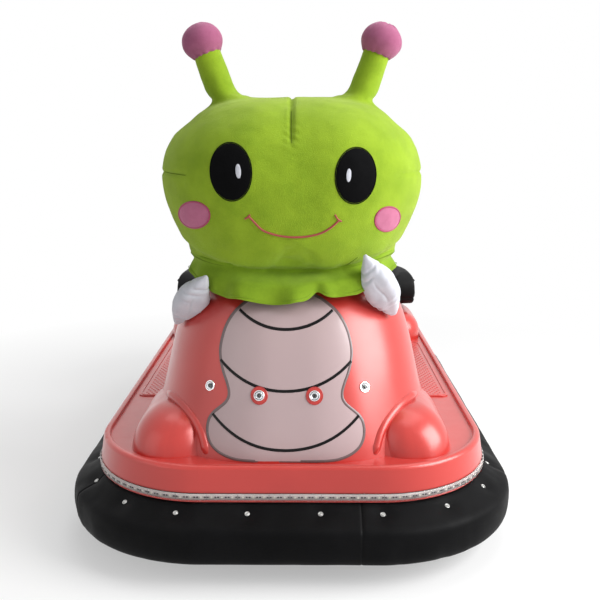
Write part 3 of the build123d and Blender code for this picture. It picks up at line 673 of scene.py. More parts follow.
def buildStrip():
    middle, half = (strip["low"] + strip["high"]) / 2, (strip["high"] - strip["low"]) / 2
    tape, (back, top) = strip["tapeHalf"], strip["tapeOut"]
    low, high = middle - tape, middle + tape
    stripBand("lightTape", ((back, low), (top, low), (top, high), (back, high)), "tapeWhite")
    total = ringLength(*strip["ring"])
    count = round(total / strip["lampStep"])
    step = total / count
    lamp, glow = strip["lampHalf"], strip["glowHalf"]
    chips, glows, darks = [], [], []
    for i in range(count):
        along = (i + 0.5) * step
        chips.append(chipOnTape(along, (lamp, lamp), (top, top + strip["lampDeep"]), middle, strip["lampBevel"]))
        glows.append(chipOnTape(along, (glow, glow), strip["glowOut"], middle, strip["glowBevel"]))
        for side in (-1, 1):
            place = along + step / 2 + side * strip["markAside"]
            darks.append(chipOnTape(place, strip["markHalf"], strip["markOut"], middle, strip["markBevel"]))
        if i % strip["lampsACut"] == 0:
            darks.append(chipOnTape(along - step / 2, (strip["cutHalf"], tape * 0.9), strip["cutOut"], middle,
                                    strip["markBevel"]))
    for name, parts, finish in (("stripLamps", chips, "tapeWhite"), ("stripGlows", glows, "chipYellow"),
                                ("stripMarks", darks, "chipDark")):
        addPiece(name, *merged(parts), finish, "car", "light_sleeve", smooth=False)
    below = [(strip["deep"] * out, -half * share) for out, share in strip["sleeve"]]
    below.insert(0, (strip["sleeveBack"], -half))
    rows = [(out, middle + h) for out, h in below] + [(out, middle - h) for out, h in reversed(below)]
    stripBand("stripSleeve", rows, "clearSleeve", "light_strip")


buildStrip()
print("light strip made")


# Sticker on the cowl: field, outline and three arcs

sticker = {
    "middle": -0.0085, "lift": 0.0003, "thick": 0.0003,
    "line": 0.0046, "arcLine": 0.0047,      # widths of the outline and the arcs
    "flatHalf": 0.42, "underLine": 0.3, "arcLift": 0.0002,      # shares of a line's width; lift above the field
    "columns": 24, "arcSteps": 48,
    # name, half width at its ends, height of its ends, height at the middle
    "arcs": (("upper", 0.0785, 0.4135, 0.3860), ("middle", 0.1085, 0.3355, 0.2927),
             ("lower", 0.1205, 0.2510, 0.2018)),
}
stickerTable = (
    # height, half width
    (0.1850, 0.0550), (0.1858, 0.0800), (0.1885, 0.0960), (0.1940, 0.1115), (0.2025, 0.1235), (0.2140, 0.1300),
    (0.2280, 0.1318), (0.2420, 0.1290), (0.2530, 0.1215), (0.2620, 0.1115), (0.2710, 0.1015), (0.2800, 0.0960),
    (0.2900, 0.0955), (0.3020, 0.0990), (0.3190, 0.1060), (0.3370, 0.1108), (0.3540, 0.1118), (0.3720, 0.1085),
    (0.3880, 0.1030), (0.4020, 0.0950), (0.4150, 0.0840), (0.4270, 0.0680), (0.4360, 0.0520), (0.4430, 0.0330),
    (0.4470, 0.0080),
)


def smoothCurve(controls, pieces):
    # Points on a smooth curve through these control points.
    points = []
    last = len(controls) - 1
    for i in range(last):
        p0, p1, p2, p3 = (Vector(controls[min(last, max(0, i + k))]) for k in (-1, 0, 1, 2))
        for step in range(pieces):
            t = step / pieces
            points.append(0.5 * (2 * p1 + (p2 - p0) * t + (2 * p0 - 5 * p1 + 4 * p2 - p3) * t * t
                                 + (3 * p1 - p0 - 3 * p2 + p3) * t ** 3))
    points.append(Vector(controls[last]))
    return points


cowlSurface = surfaceOf(nodes["cowl_shell"])


def onCowl(x, z, lift):
    place, normal = hitFromFront(cowlSurface, x, z)
    return place + normal * lift if place is not None else None


def ribbonOnCowl(name, curve, width, lift, finish, closed=False):
    # A thin raised strip along points given as (x, z).
    points = []
    count = len(curve)
    top, flat = lift + sticker["thick"], sticker["flatHalf"]
    for i, spot in enumerate(curve):
        before = curve[i - 1] if i or closed else spot
        after = curve[(i + 1) % count] if i + 1 < count or closed else spot
        run = (after - before).normalized()
        side = Vector((-run.y, run.x))
        for offset, height in ((-0.5, lift), (-flat, top), (flat, top), (0.5, lift)):
            edge = spot + side * width * offset
            points.append(onCowl(edge.x, edge.y, height) or points[-1])
    addPiece(name, points, gridFaces(count, 4, wrapRows=closed), finish, "car", "pink_shell")


def buildSticker():
    half = smoothCurve([(w, z) for z, w in stickerTable], 5)
    middle, line, lift, columns = (sticker[key] for key in ("middle", "line", "lift", "columns"))
    points = []
    for spot in half:
        for c in range(columns + 1):
            across = -1 + 2 * c / columns
            points.append(onCowl(middle + across * (spot.x - line * sticker["underLine"]), spot.y, lift))
    addPiece("stickerField", points, gridFaces(len(half), columns + 1), "stickerField", "car", "pink_shell")
    right = [Vector((middle + spot.x - line / 2, spot.y)) for spot in half]
    left = [Vector((middle - spot.x + line / 2, spot.y)) for spot in half]
    ribbonOnCowl("stickerOutline", right + left[::-1], line, lift, "stickerEdge", True)
    steps = sticker["arcSteps"]
    for name, reach, ends, low in sticker["arcs"]:
        sag = ends - low
        radius = (reach * reach + sag * sag) / (2 * sag)
        full = math.asin(reach / radius)
        curve = []
        for i in range(steps + 1):
            turn = -full + 2 * full * i / steps
            curve.append(Vector((middle + radius * math.sin(turn), low + radius * (1 - math.cos(turn)))))
        ribbonOnCowl("stickerArc_" + name, curve, sticker["arcLine"], lift + sticker["arcLift"], "stickerArc")


buildSticker()
print("sticker made")


# Lamps on the cowl: cup, dark lamp, faceted lens and the round patch behind the inner pair

lamps = {
    "radius": 0.0092, "facets": 14, "lift": 0.0003,
    "patchRadius": 0.0142, "patchLine": 0.0016, "patchLift": 0.0012, "linePlace": 0.93, "lineLift": 0.0011,
    "patchRings": ((0.35, 0.0012), (0.8, 0.0012), (0.95, 0.0010), (1.0, 0.0004)),   # share of the radius, lift
    # distance along the axis, share of the lamp's radius
    "cup": ((-0.0006, 0.99), (0.0010, 1.0), (0.0019, 0.93), (0.0020, 0.86), (0.0009, 0.60), (0.0004, 0.30)),
    "core": ((0.0004, 0.36), (0.0022, 0.33), (0.0028, 0.2)),
    "lens": ((0.0011, 0.86), (0.0024, 0.80), (0.0040, 0.58), (0.0047, 0.30), (0.0048, 0.12)),
}
lampPlaces = (
    # name, x, height, with a round patch
    ("outerLeft", -0.1342, 0.293, False), ("outerRight", 0.1222, 0.293, False),
    ("innerLeft", -0.0511, 0.286, True), ("innerRight", 0.0391, 0.286, True),
)


def circleCurve(x, z, radius, count=40):
    turns = [2 * math.pi * i / count for i in range(count)]
    return [Vector((x + radius * math.cos(turn), z + radius * math.sin(turn))) for turn in turns]


def buildPatch(name, x, z):
    # The round patch behind a lamp, with its drawn ring.
    points = [onCowl(x, z, lamps["patchLift"])]
    for share, lift in lamps["patchRings"]:
        points += [onCowl(s.x, s.y, lift) for s in circleCurve(x, z, lamps["patchRadius"] * share)]
    addPiece("lampPatch_" + name, points, fanFaces(len(lamps["patchRings"]), 40), "pearlPink", "car", "pink_shell")
    curve = circleCurve(x, z, lamps["patchRadius"] * lamps["linePlace"])
    ribbonOnCowl("lampPatchLine_" + name, curve, lamps["patchLine"], lamps["lineLift"], "lampRing", True)


def buildLamps():
    parts = {"cup": [], "core": [], "lens": []}
    sides = {"cup": 28, "core": 12, "lens": lamps["facets"]}
    for name, x, z, patched in lampPlaces:
        centre, normal = hitFromFront(cowlSurface, x, z)
        if patched:
            buildPatch(name, x, z)
        base = centre + normal * lamps["patchLift" if patched else "lift"]
        for part in parts:
            parts[part].append(latheMesh(lamps[part], sides[part], base, normal, radius=lamps["radius"]))
    roundEdges(addPiece("lampCups", *merged(parts["cup"]), "lampMirror", "car", "clear_lens"))
    addPiece("lampCores", *merged(parts["core"]), "chipDark", "car", "clear_lens")
    addPiece("lampLenses", *merged(parts["lens"]), "clearLens", "car", "clear_lens", "lamp_lenses", smooth=False)


buildLamps()
print("lamps made")


# Raised ridges on the cowl, beside the corner bulges

ridge = {
    "radius": 0.0090, "sunk": 0.0042, "sides": 24, "taper": (6, 0.55),  # points and least width at an end
    "curve": ((0.1390, 0.1870), (0.1435, 0.2000), (0.1490, 0.2150), (0.1590, 0.2300), (0.1740, 0.2430),
              (0.1910, 0.2515), (0.2080, 0.2550), (0.2220, 0.2540)),
}


def buildRidges():
    parts = []
    sides, (taperPoints, least) = ridge["sides"], ridge["taper"]
    for side in (-1, 1):
        path = []
        for spot in smoothCurve([(side * x, z) for x, z in ridge["curve"]], 8):
            path.append(onCowl(spot.x, spot.y, -ridge["sunk"]))
        points, faces = tubeAlong(path, ridge["radius"], sides)
        for i, place in enumerate(path):
            # Both ends run out into the surface.
            end = min(i, len(path) - 1 - i) / taperPoints
            if end < 1:
                for s in range(i * sides, (i + 1) * sides):
                    points[s] = place + (points[s] - place) * (least + (1 - least) * end)
        parts.append((points, faces))
    addPiece("cowlRidges", *merged(parts), "pearlPink", "car", "pink_shell")


buildRidges()
print("ridges made")


# Raised borders and dots on the two tread panels

tread = {
    "x": (0.2547, 0.3160), "y": (-0.205, 0.2240), "top": 0.1830, "corner": 0.014, "sunk": -0.0002,
    "borderInset": 0.0045, "borderHalf": 0.0016, "borderHigh": 0.0011, "borderPoints": 150,
    "borderFlat": 0.6, "cornerTighter": 0.4,
    "dotStep": 0.0098, "rowStep": 0.87, "dotRadius": 0.0026, "dotHigh": 0.0010, "dotInset": 0.0125, "dotSides": 7,
    "dotRings": ((0.72, 0.7), (0.3, 1.0)),      # shares of the radius and the height
}


def buildBorder(side):
    (x0, x1), (y0, y1) = tread["x"], tread["y"]
    inset, half, count, sunk = (tread[key] for key in ("borderInset", "borderHalf", "borderPoints", "sunk"))
    line = ((x1 - x0) / 2 - inset, (y1 - y0) / 2 - inset, tread["corner"] - inset * tread["cornerTighter"])
    total = ringLength(*line)
    points = []
    flat, top = half * tread["borderFlat"], tread["borderHigh"]
    for out, high in ((-half, sunk), (-flat, top), (flat, top), (half, sunk)):
        for i in range(count):
            x, y, nx, ny = ringPlace(total * i / count, *line)
            points.append(Vector((side * ((x0 + x1) / 2 + x + nx * out), (y0 + y1) / 2 + y + ny * out,
                                  tread["top"] + high)))
    return points, gridFaces(4, count, wrapColumns=True)


def buildDot(centre):
    sides, up = tread["dotSides"], Vector((0, 0, 1))
    rings = [(1.0, tread["sunk"])] + [(share, rise * tread["dotHigh"]) for share, rise in tread["dotRings"]]
    points = []
    for share, high in rings:
        radius = share * tread["dotRadius"]
        points += circleRound(centre + up * high, Vector((1, 0, 0)), Vector((0, 1, 0)), radius, sides)
    return points, gridFaces(3, sides, wrapColumns=True) + [tuple(range(2 * sides, 3 * sides))]


def buildTreads():
    (x0, x1), (y0, y1) = tread["x"], tread["y"]
    step, inset = tread["dotStep"], tread["dotInset"]
    rowStep = step * tread["rowStep"]
    dots = []
    for side in (-1, 1):
        for row in range(int((y1 - y0 - 2 * inset) / rowStep) + 1):
            shift = step / 2 if row % 2 else 0.0
            for column in range(int((x1 - x0 - 2 * inset - shift) / step + 0.01) + 1):
                x = x0 + inset + shift + column * step
                dots.append(buildDot(Vector((side * x, y0 + inset + row * rowStep, tread["top"]))))
    addPiece("treadBorders", *merged([buildBorder(side) for side in (-1, 1)]), "pearlPink", "car", "pink_shell")
    addPiece("treadDots", *merged(dots), "pearlPink", "car", "pink_shell")


buildTreads()
print("tread panels made")


# Plush and pads: CAD copy, remesh, pressure simulation, then seams

sewing = {
    "frames": 20, "pressure": 4.0, "quality": 4,
    "relaxRounds": 3, "stalkRounds": 60, "stalkFoot": (0.078, -0.300, 0.766), "stalkFootWide": 0.042,
    "stalkFrom": (0.765, 0.785), "stalkSwell": 0.0025,
    "stalkUp": 0.026, "stalkUpFrom": (0.792, 0.826),        # the stalk's end runs up into its ball
    # across, width, height and width again, and share: where the head's shoulders swell less
    "shoulder": (0.180, 0.040, 0.735, 0.032, 0.60),
    "stalkCap": (0.768, 0.015, 0.80),
}
padTable = {
    # voxel, start shape smaller by, how far a point may move, lowest point
    "bugHead": {"nodes": ["plush_head", "antenna_stalks"], "finish": "greenPlush", "voxel": 0.0065,
                "shrink": 0.0015, "cap": 0.009, "low": 0.4585, "slot": "green_plush", "fill": 0.9},
    "antennaBalls": {"nodes": ["antenna_balls"], "finish": "pinkPlush", "voxel": 0.0038,
                     "shrink": 0.0, "cap": 0.003, "low": 0.0, "slot": "pink_plush", "fill": 0.9},
    "mittLeft": {"nodes": ["mitt_left"], "finish": "mittCloth", "voxel": 0.0028,
                 "shrink": 0.0008, "cap": 0.002, "low": 0.0, "slot": "white_plush", "fill": 0.7},
    "mittRight": {"nodes": ["mitt_right"], "finish": "mittCloth", "voxel": 0.0028,
                  "shrink": 0.0008, "cap": 0.002, "low": 0.0, "slot": "white_plush", "fill": 0.7},
    "backrestPad": {"nodes": ["backrest_pad"], "finish": "padCloth", "voxel": 0.0065,
                    "shrink": 0.006, "cap": 0.010, "low": 0.2503, "slot": "black_leathercloth", "fill": 0.85},
    "seatPad": {"nodes": ["seat_cushion"], "finish": "padCloth", "voxel": 0.0060,
                "shrink": 0.005, "cap": 0.009, "low": 0.2063, "slot": "black_leathercloth", "fill": 0.8},
}
ball = {
    "fullness": 0.92, "lowerIn": 0.10,          # power on the outline, share drawn in below
    "tucks": ((0.80, 0.0035), (0.45, 0.0010)), "tuckEnd": 0.0005,       # share of the radius, rise
    "pleats": (13, 3), "pleatAt": (0.85, 0.16),         # how many, sway; place and width
    "crownFolds": (9, 1.3, 2), "crownAt": (0.40, 0.25),
    "seamWide": 0.06, "seamFrom": (0.75, 1.0),
    "middle": (0.156, -0.300, 0.861), "lean": (0.039, 0.0, 0.102),
    "wide": 0.0362, "high": 0.0330, "open": 0.78,
    "rings": 26, "sides": 48,
    "lumpHigh": 0.0009, "lumpSize": 0.020,
    "pleatHigh": 0.0007, "crownHigh": 0.0009, "crownShare": {1: 1.3, -1: 0.3},
    "seamDeep": 0.0012,
}


def pointsOf(piece):
    flat = numpy.zeros(len(piece.data.vertices) * 3)
    piece.data.vertices.foreach_get("co", flat)
    return flat.reshape(-1, 3)


def setPoints(piece, points):
    piece.data.vertices.foreach_set("co", points.reshape(-1))
    piece.data.update()


def relax(piece, weights, rounds):
    # Evens out the surface where the weights are above zero.
    ends = numpy.zeros(len(piece.data.edges) * 2, dtype=int)
    piece.data.edges.foreach_get("vertices", ends)
    ends = ends.reshape(-1, 2)
    points = pointsOf(piece)
    count = numpy.zeros(len(points))
    numpy.add.at(count, ends[:, 0], 1)
    numpy.add.at(count, ends[:, 1], 1)
    count[count == 0] = 1
    for _ in range(rounds):
        total = numpy.zeros_like(points)
        numpy.add.at(total, ends[:, 0], points[ends[:, 1]])
        numpy.add.at(total, ends[:, 1], points[ends[:, 0]])
        points += (total / count[:, None] - points) * 0.5 * weights[:, None]
    setPoints(piece, points)


def ballAxes(side):
    # The middle of a ball, and the way in which its stalk leans.
    x, y, z = ball["middle"]
    return Vector((side * x, y, z)), Vector((side * ball["lean"][0], 0, ball["lean"][2])).normalized()


def startPad(name):
    row = padTable[name]
    if name == "antennaBalls":
        return ballForm(name)
    piece = copyOfNodes(name, row["nodes"], row["finish"])
    useModifier(piece, "REMESH", mode="VOXEL", voxel_size=row["voxel"], use_smooth_shade=True)
    bake(piece)
    relax(piece, numpy.ones(len(piece.data.vertices)), sewing["relaxRounds"])
    if name == "bugHead":
        points = pointsOf(piece)
        weights = numpy.zeros(len(points))
        for side in (-1, 1):
            away = numpy.linalg.norm(points - numpy.array(sewing["stalkFoot"]) * (side, 1, 1), axis=1)
            weights = numpy.maximum(weights, numpy.exp(-(away / sewing["stalkFootWide"]) ** 2))
        relax(piece, weights, sewing["stalkRounds"])
    for vertex, normal in [(v, v.normal.copy()) for v in piece.data.vertices]:
        stalk = smoothStep(*sewing["stalkFrom"], vertex.co.z) if name == "bugHead" else 0.0
        vertex.co -= normal * row["shrink"] * (1 - stalk)
        if stalk > 0:
            middle, lean = ballAxes(1 if vertex.co.x > 0 else -1)
            vertex.co += (lean * (sewing["stalkUp"] * smoothStep(*sewing["stalkUpFrom"], vertex.co.z))
                          + normal * sewing["stalkSwell"])
    return piece


def simulate(pads):
    starts = {}
    scene = bpy.context.scene
    scene.frame_start, scene.frame_end = 1, sewing["frames"]
    for name, piece in pads.items():
        starts[name] = pointsOf(piece)
        cloth = piece.modifiers.new("Cloth", "CLOTH")
        cloth.settings.use_pressure = True
        cloth.settings.uniform_pressure_force = sewing["pressure"]
        cloth.settings.effector_weights.gravity = 0
        cloth.settings.quality = sewing["quality"]
        cloth.collision_settings.use_collision = False
        cloth.point_cache.frame_start, cloth.point_cache.frame_end = 1, sewing["frames"]
    for number in range(1, sewing["frames"] + 1):
        scene.frame_set(number)
    for name, piece in pads.items():
        row = padTable[name]
        bake(piece)
        points = pointsOf(piece)
        moved = points - starts[name]
        size = numpy.maximum(numpy.linalg.norm(moved, axis=1), 1e-9)
        print(name, "moved in mm, mean and most:", round(size.mean() * 1000, 2), round(size.max() * 1000, 2))
        cap = numpy.full(len(points), row["cap"])
        if name == "bugHead":
            # The stalks keep their width, and the slopes beside them stay nearly straight.
            across, height = numpy.abs(starts[name][:, 0]), starts[name][:, 2]
            x, wide, z, high, held = sewing["shoulder"]
            slope = numpy.exp(-((across - x) / wide) ** 2 - ((height - z) / high) ** 2)
            low, rise, stalkHeld = sewing["stalkCap"]
            stalk = numpy.clip((height - low) / rise, 0.0, 1.0)
            cap *= (1 - held * slope) * (1 - stalkHeld * stalk)
        points = starts[name] + moved * numpy.minimum(1.0, cap / size)[:, None]
        points[:, 2] = numpy.maximum(points[:, 2], row["low"])
        setPoints(piece, points)
        useModifier(piece, "SUBSURF", levels=1, render_levels=1)
        bake(piece)
    scene.frame_set(1)


def carve(piece, rule):
    # Moves each point along its normal by what the rule says.
    for vertex, normal in [(v, v.normal.copy()) for v in piece.data.vertices]:
        vertex.co += normal * rule(vertex.co, normal)
    piece.data.update()


def fromSegment(place, start, end):
    run = end - start
    t = min(1.0, max(0.0, (place - start).dot(run) / run.length_squared))
    return (place - start - run * t).length


headForm = {
    "lumps": ((0.0016, 0.07), (0.0007, 0.022)),             # height, size
    "front": -0.27, "seamX": 0.001, "seamTop": 0.66,
    "seamDeep": 0.0046, "seamWide": 0.0036, "seamFrom": (0.676, 0.715),
    "besideDeep": 0.0024, "besideX": 0.010, "besideWide": 0.012, "besideTo": (0.765, 0.745),
    "puckerHigh": 0.0009, "puckerX": (0.007, 0.006), "puckerZ": (0.700, 0.022), "puckerStep": 0.013,
    "backSeam": (0.0040, 0.0040),                           # depth, width
    "sideSeam": (0.0030, 0.6395, 0.0034), "sideFrom": (0.166, 0.195),
    "creaseWide": 0.0050,
    "creases": (
        # start, end, depth
        ((0.089, -0.425, 0.480), (0.117, -0.412, 0.505), 0.0046),
        ((0.080, -0.430, 0.486), (0.099, -0.425, 0.511), 0.0026),
        ((-0.105, -0.420, 0.484), (-0.125, -0.408, 0.499), 0.0028),
        ((0.030, -0.440, 0.478), (0.038, -0.452, 0.492), 0.0022)),
    "slope": (0.0040, 0.182, 0.026, 0.727, 0.024),          # the shoulders are pulled straight
    "stalkSide": ((0.1405, -0.300, 0.7560), 0.0030, 0.012),
    "stalkSeam": (0.770, 0.0012, -0.300, 0.0030),
    "neck": (0.0045, 0.4760, 0.75, 0.060, 1.5, 0.007),      # the head is drawn in at the neck
}


def headRule(place, normal):
    form = headForm
    push = sum(high * noise.noise(place / size) for high, size in form["lumps"])
    aside = place.x - form["seamX"]
    if place.y < form["front"] and place.z > form["seamTop"]:
        run = smoothStep(*form["seamFrom"], place.z)
        push -= form["seamDeep"] * bell(aside, form["seamWide"]) * run
        push -= (form["besideDeep"] * bell(aside + form["besideX"], form["besideWide"]) * run
                 * smoothStep(*form["besideTo"], place.z))
        (x, wide), (z, high) = form["puckerX"], form["puckerZ"]
        near = bell(abs(aside) - x, wide) * bell(place.z - z, high)
        push += form["puckerHigh"] * near * math.sin(place.z * 2 * math.pi / form["puckerStep"] + place.x * 260)
    if place.y > form["front"]:
        push -= form["backSeam"][0] * bell(place.x, form["backSeam"][1])
    deep, z, wide = form["sideSeam"]
    push -= deep * smoothStep(*form["sideFrom"], abs(place.x)) * bell(place.z - z, wide)
    for start, end, deep in form["creases"]:
        push -= deep * bell(fromSegment(place, Vector(start), Vector(end)), form["creaseWide"])
    deep, x, wide, z, high = form["slope"]
    push -= deep * bell(abs(place.x) - x, wide) * bell(place.z - z, high)
    (x, y, z), deep, wide = form["stalkSide"]
    for way in (-1, 1):
        push -= deep * bell((place - Vector((way * x, y, z))).length, wide)
    low, deep, y, wide = form["stalkSeam"]
    if place.z > low:
        push -= deep * bell(abs(place.y - y), wide)
    deep, z, rise, x, power, wide = form["neck"]
    return push - deep * bell(place.z - z - rise * max(0.0, abs(place.x) - x) ** power, wide)


def ballForm(name):
    # Two stuffed caps, each closed round the end of its stalk.
    parts = []
    rings, count = ball["rings"], ball["sides"]
    across = Vector((0, 1, 0))
    for side in (-1, 1):
        centre, up = ballAxes(side)
        third = up.cross(across)
        profile = []
        for r in range(rings + 1):
            polar = (math.pi - ball["open"]) * r / rings
            low = max(0.0, -math.cos(polar))
            wide = ball["wide"] * math.sin(polar) ** ball["fullness"] * (1 - ball["lowerIn"] * low)
            profile.append((wide, ball["high"] * math.cos(polar)))
        for share, rise in ball["tucks"]:
            profile.append((profile[-1][0] * share, profile[-1][1] + rise))
        points = [centre + up * profile[0][1]]
        for out, high in profile[1:]:
            points += circleRound(centre + up * high, third, across, out, count)
        last = len(points)
        points.append(centre + up * (profile[-1][1] + ball["tuckEnd"]))
        base = last - count
        faces = fanFaces(len(profile) - 1, count)
        faces += [(base + (s + 1) % count, base + s, last) for s in range(count)]
        parts.append((points, faces))
    piece = meshPiece(name, *merged(parts), finishes["pinkPlush"])
    turnOutward(piece)
    return piece


def ballRule(place, normal):
    # Pleats round the stalk and on the crown, and a seam.
    way = 1 if place.x > 0 else -1
    centre, lean = ballAxes(way)
    across = Vector((0, 1, 0))
    out = (place - centre).normalized()
    polar = out.angle(-lean)
    turn = math.atan2(out.dot(across), out.dot(across.cross(lean)))
    top, wide = ball["crownAt"]
    crown = bell(math.pi - polar - top, wide) * ball["crownShare"][way]
    push = ball["lumpHigh"] * noise.noise(place / ball["lumpSize"])
    (pleats, sway), (low, wide) = ball["pleats"], ball["pleatAt"]
    push += ball["pleatHigh"] * math.cos(turn * pleats + math.sin(turn * sway)) * bell(polar - low, wide)
    folds, shift, sway = ball["crownFolds"]
    push += ball["crownHigh"] * math.cos(turn * folds + shift * math.sin(turn * sway)) * crown
    seam = bell(out.dot(across), ball["seamWide"]) * smoothStep(*ball["seamFrom"], polar)
    return push - ball["seamDeep"] * seam


mitt = {
    "longer": 0.20, "wider": 0.08, "tip": 0.46,     # shares by which it grows, and by which its ends narrow
    "tipFrom": 0.016, "tipRun": 0.042, "aside": 0.0035,
    "lumpHigh": 0.0007, "lumpSize": 0.014, "patchSize": 0.019,
    "folds": ((-0.046, 0.0020), (-0.033, 0.0026), (0.014, 0.0015), (0.029, 0.0022), (0.041, 0.0024)),
    "foldWide": 0.0028, "foldLean": 0.35, "foldUneven": (0.004, 30, 60), "patchFrom": (-0.25, 0.35),
    "creaseDeep": 0.0013, "creaseWide": 0.0020, "creaseTo": (0.03, 0.01), "creaseSway": (0.004, 90),
    "taperPower": 1.3,
    "rimDeep": 0.0014, "rimWide": 0.0018, "rimFrom": (0.009, 0.015),
}


def mittRule(centre, long, flat):
    # A few soft folds run across the mitt, and a seam goes round its rim.
    def rule(place, normal):
        offset = place - centre
        along, thick = offset.dot(long), offset.dot(flat)
        wide = offset.dot(long.cross(flat))
        uneven, fineAlong, fineAcross = mitt["foldUneven"]
        bent = (along + mitt["foldLean"] * wide
                + uneven * noise.noise(Vector((along * fineAlong, wide * fineAcross, 3.0))))
        push = mitt["lumpHigh"] * noise.noise(place / mitt["lumpSize"])
        patch = smoothStep(*mitt["patchFrom"], noise.noise(place / mitt["patchSize"]))
        for spot, deep in mitt["folds"]:
            push -= deep * patch * bell(bent - spot, mitt["foldWide"])
        sway, waves = mitt["creaseSway"]
        push -= (mitt["creaseDeep"] * bell(wide - sway * math.sin(along * waves), mitt["creaseWide"])
                 * smoothStep(*mitt["creaseTo"], abs(along)))
        return push - mitt["rimDeep"] * bell(thick, mitt["rimWide"]) * smoothStep(*mitt["rimFrom"], abs(wide))
    return rule


def shapeMitt(piece, side):
    # Lengthens the mitt, narrows its ends, and folds it along its own directions.
    points = pointsOf(piece)
    centre = points.mean(axis=0)
    spread = numpy.linalg.svd(points - centre, full_matrices=False)[2]
    along = (points - centre) @ spread[0]
    taper = numpy.clip((numpy.abs(along) - mitt["tipFrom"]) / mitt["tipRun"], 0.0, 1.0)
    taper **= mitt["taperPower"]
    off = points - centre - numpy.outer(along, spread[0])
    grown = points + numpy.outer(along * mitt["longer"], spread[0])
    grown += off * (mitt["wider"] - mitt["tip"] * taper)[:, None]
    setPoints(piece, grown + numpy.array([side * mitt["aside"], 0, 0]))
    carve(piece, mittRule(Vector(centre), Vector(spread[0]), Vector(spread[2])))


quilting = {
    "deep": 0.0042, "wide": 0.0034, "centreY": 0.360, "channels": range(-4, 5), "turn": 0.27, "topShare": 0.4,
    "backSeam": (0.0022, 0.2790, 0.0026), "backLump": (0.0014, 0.060),
    "seatDeep": 0.0045, "seatWide": 0.0036, "seatX": (-0.065, 0.065), "seatY": 0.350, "seatXFrom": (0.246, 0.270),
    "topFrom": 0.3, "crown": (0.0025, 0.16, 0.09), "seatSeam": (0.0025, 0.2290, 0.0030), "seatLump": (0.0012, 0.050),
}


def backRule(place, normal):
    # Sewn channels across the inside of the backrest and a seam round its ends.
    high, size = quilting["backLump"]
    push = high * noise.noise(place / size)
    y, step, onTop = place.y - quilting["centreY"], quilting["turn"], abs(normal.z) > 0.5
    turn = math.atan2(place.x, y)
    if onTop or normal.x * -place.x + normal.y * -y > 0.0:
        for i in quilting["channels"]:
            push -= (quilting["deep"] * bell((turn - i * step) * step, quilting["wide"])
                     * (quilting["topShare"] if onTop else 1.0))
    deep, height, wide = quilting["backSeam"]
    return push - deep * bell(place.z - height, wide)


def seatRule(place, normal):
    # Sewn lines on the cushion, a low crown and a seam round its side.
    high, size = quilting["seatLump"]
    push = high * noise.noise(place / size)
    if normal.z > quilting["topFrom"]:
        deep, wide, y = quilting["seatDeep"], quilting["seatWide"], place.y - quilting["seatY"]
        for x in quilting["seatX"]:
            push -= deep * bell(place.x - x, wide) * smoothStep(*quilting["seatXFrom"], place.y)
        push -= deep * bell(y, wide)
        high, acrossWide, longWide = quilting["crown"]
        push += high * bell(place.x, acrossWide) * bell(y, longWide)
    deep, height, wide = quilting["seatSeam"]
    return push - deep * bell(place.z - height, wide)


def buildPads():
    pads = {name: startPad(name) for name in padTable}
    simulate(pads)
    for name, rule in (("bugHead", headRule), ("antennaBalls", ballRule), ("backrestPad", backRule),
                       ("seatPad", seatRule)):
        carve(pads[name], rule)
    shapeMitt(pads["mittLeft"], -1)
    shapeMitt(pads["mittRight"], 1)
    for name, piece in pads.items():
        row = padTable[name]
        settle(piece, "car", row["slot"], *row["nodes"])
        print("pad", name, len(piece.data.polygons))
    return pads


pads = buildPads()
headSurface = surfaceOf(pads["bugHead"])
print("plush and pads made")


# Face: eyes, glints, cheeks and smile, sewn on the head

facePatches = (
    # name, x, height, half width, half height, tilt in degrees, lift, dome, finish
    ("eyeLeft", -0.0949, 0.6453, 0.0341, 0.0463, 3, 0.0006, 0.0022, "eyeVelvet"),
    ("eyeRight", 0.1042, 0.6390, 0.0333, 0.0449, -3, 0.0006, 0.0022, "eyeVelvet"),
    ("glintLeft", -0.0819, 0.6464, 0.0044, 0.0118, 4, 0.0032, 0.0005, "eyeGlint"),
    ("glintRight", 0.0918, 0.6401, 0.0040, 0.0110, -3, 0.0032, 0.0005, "eyeGlint"),
    ("cheekLeft", -0.1620, 0.5722, 0.0300, 0.0225, 14, 0.0006, 0.0016, "cheekPlush"),
    ("cheekRight", 0.1612, 0.5654, 0.0230, 0.0212, -10, 0.0006, 0.0016, "cheekPlush"),
)
patchForm = {"rings": 14, "sides": 56, "turnedUnder": -0.0006, "edgeForward": 0.0008}
faceThreads = {
    # patch: width of the stitched edge, finish
    "eyeLeft": (0.0018, "eyeVelvet"), "eyeRight": (0.0018, "eyeVelvet"),
    "cheekLeft": (0.0032, "cheekThread"), "cheekRight": (0.0032, "cheekThread"),
}
smile = {
    "width": 0.0034, "tickShare": 0.9, "lift": 0.18,     # shares of the width
    "curve": ((-0.0675, 0.5750), (-0.0600, 0.5670), (-0.0460, 0.5526), (-0.0300, 0.5458), (-0.0120, 0.5418),
              (0.0070, 0.5405), (0.0280, 0.5418), (0.0480, 0.5466), (0.0640, 0.5555), (0.0770, 0.5670)),
    "ticks": (((-0.0735, 0.5702), (-0.0690, 0.5730), (-0.0650, 0.5775)),
              ((0.0712, 0.5775), (0.0760, 0.5700), (0.0820, 0.5660))),
}


def onFace(x, z, lift):
    place, normal = hitFromFront(headSurface, x, z)
    return place + normal * lift


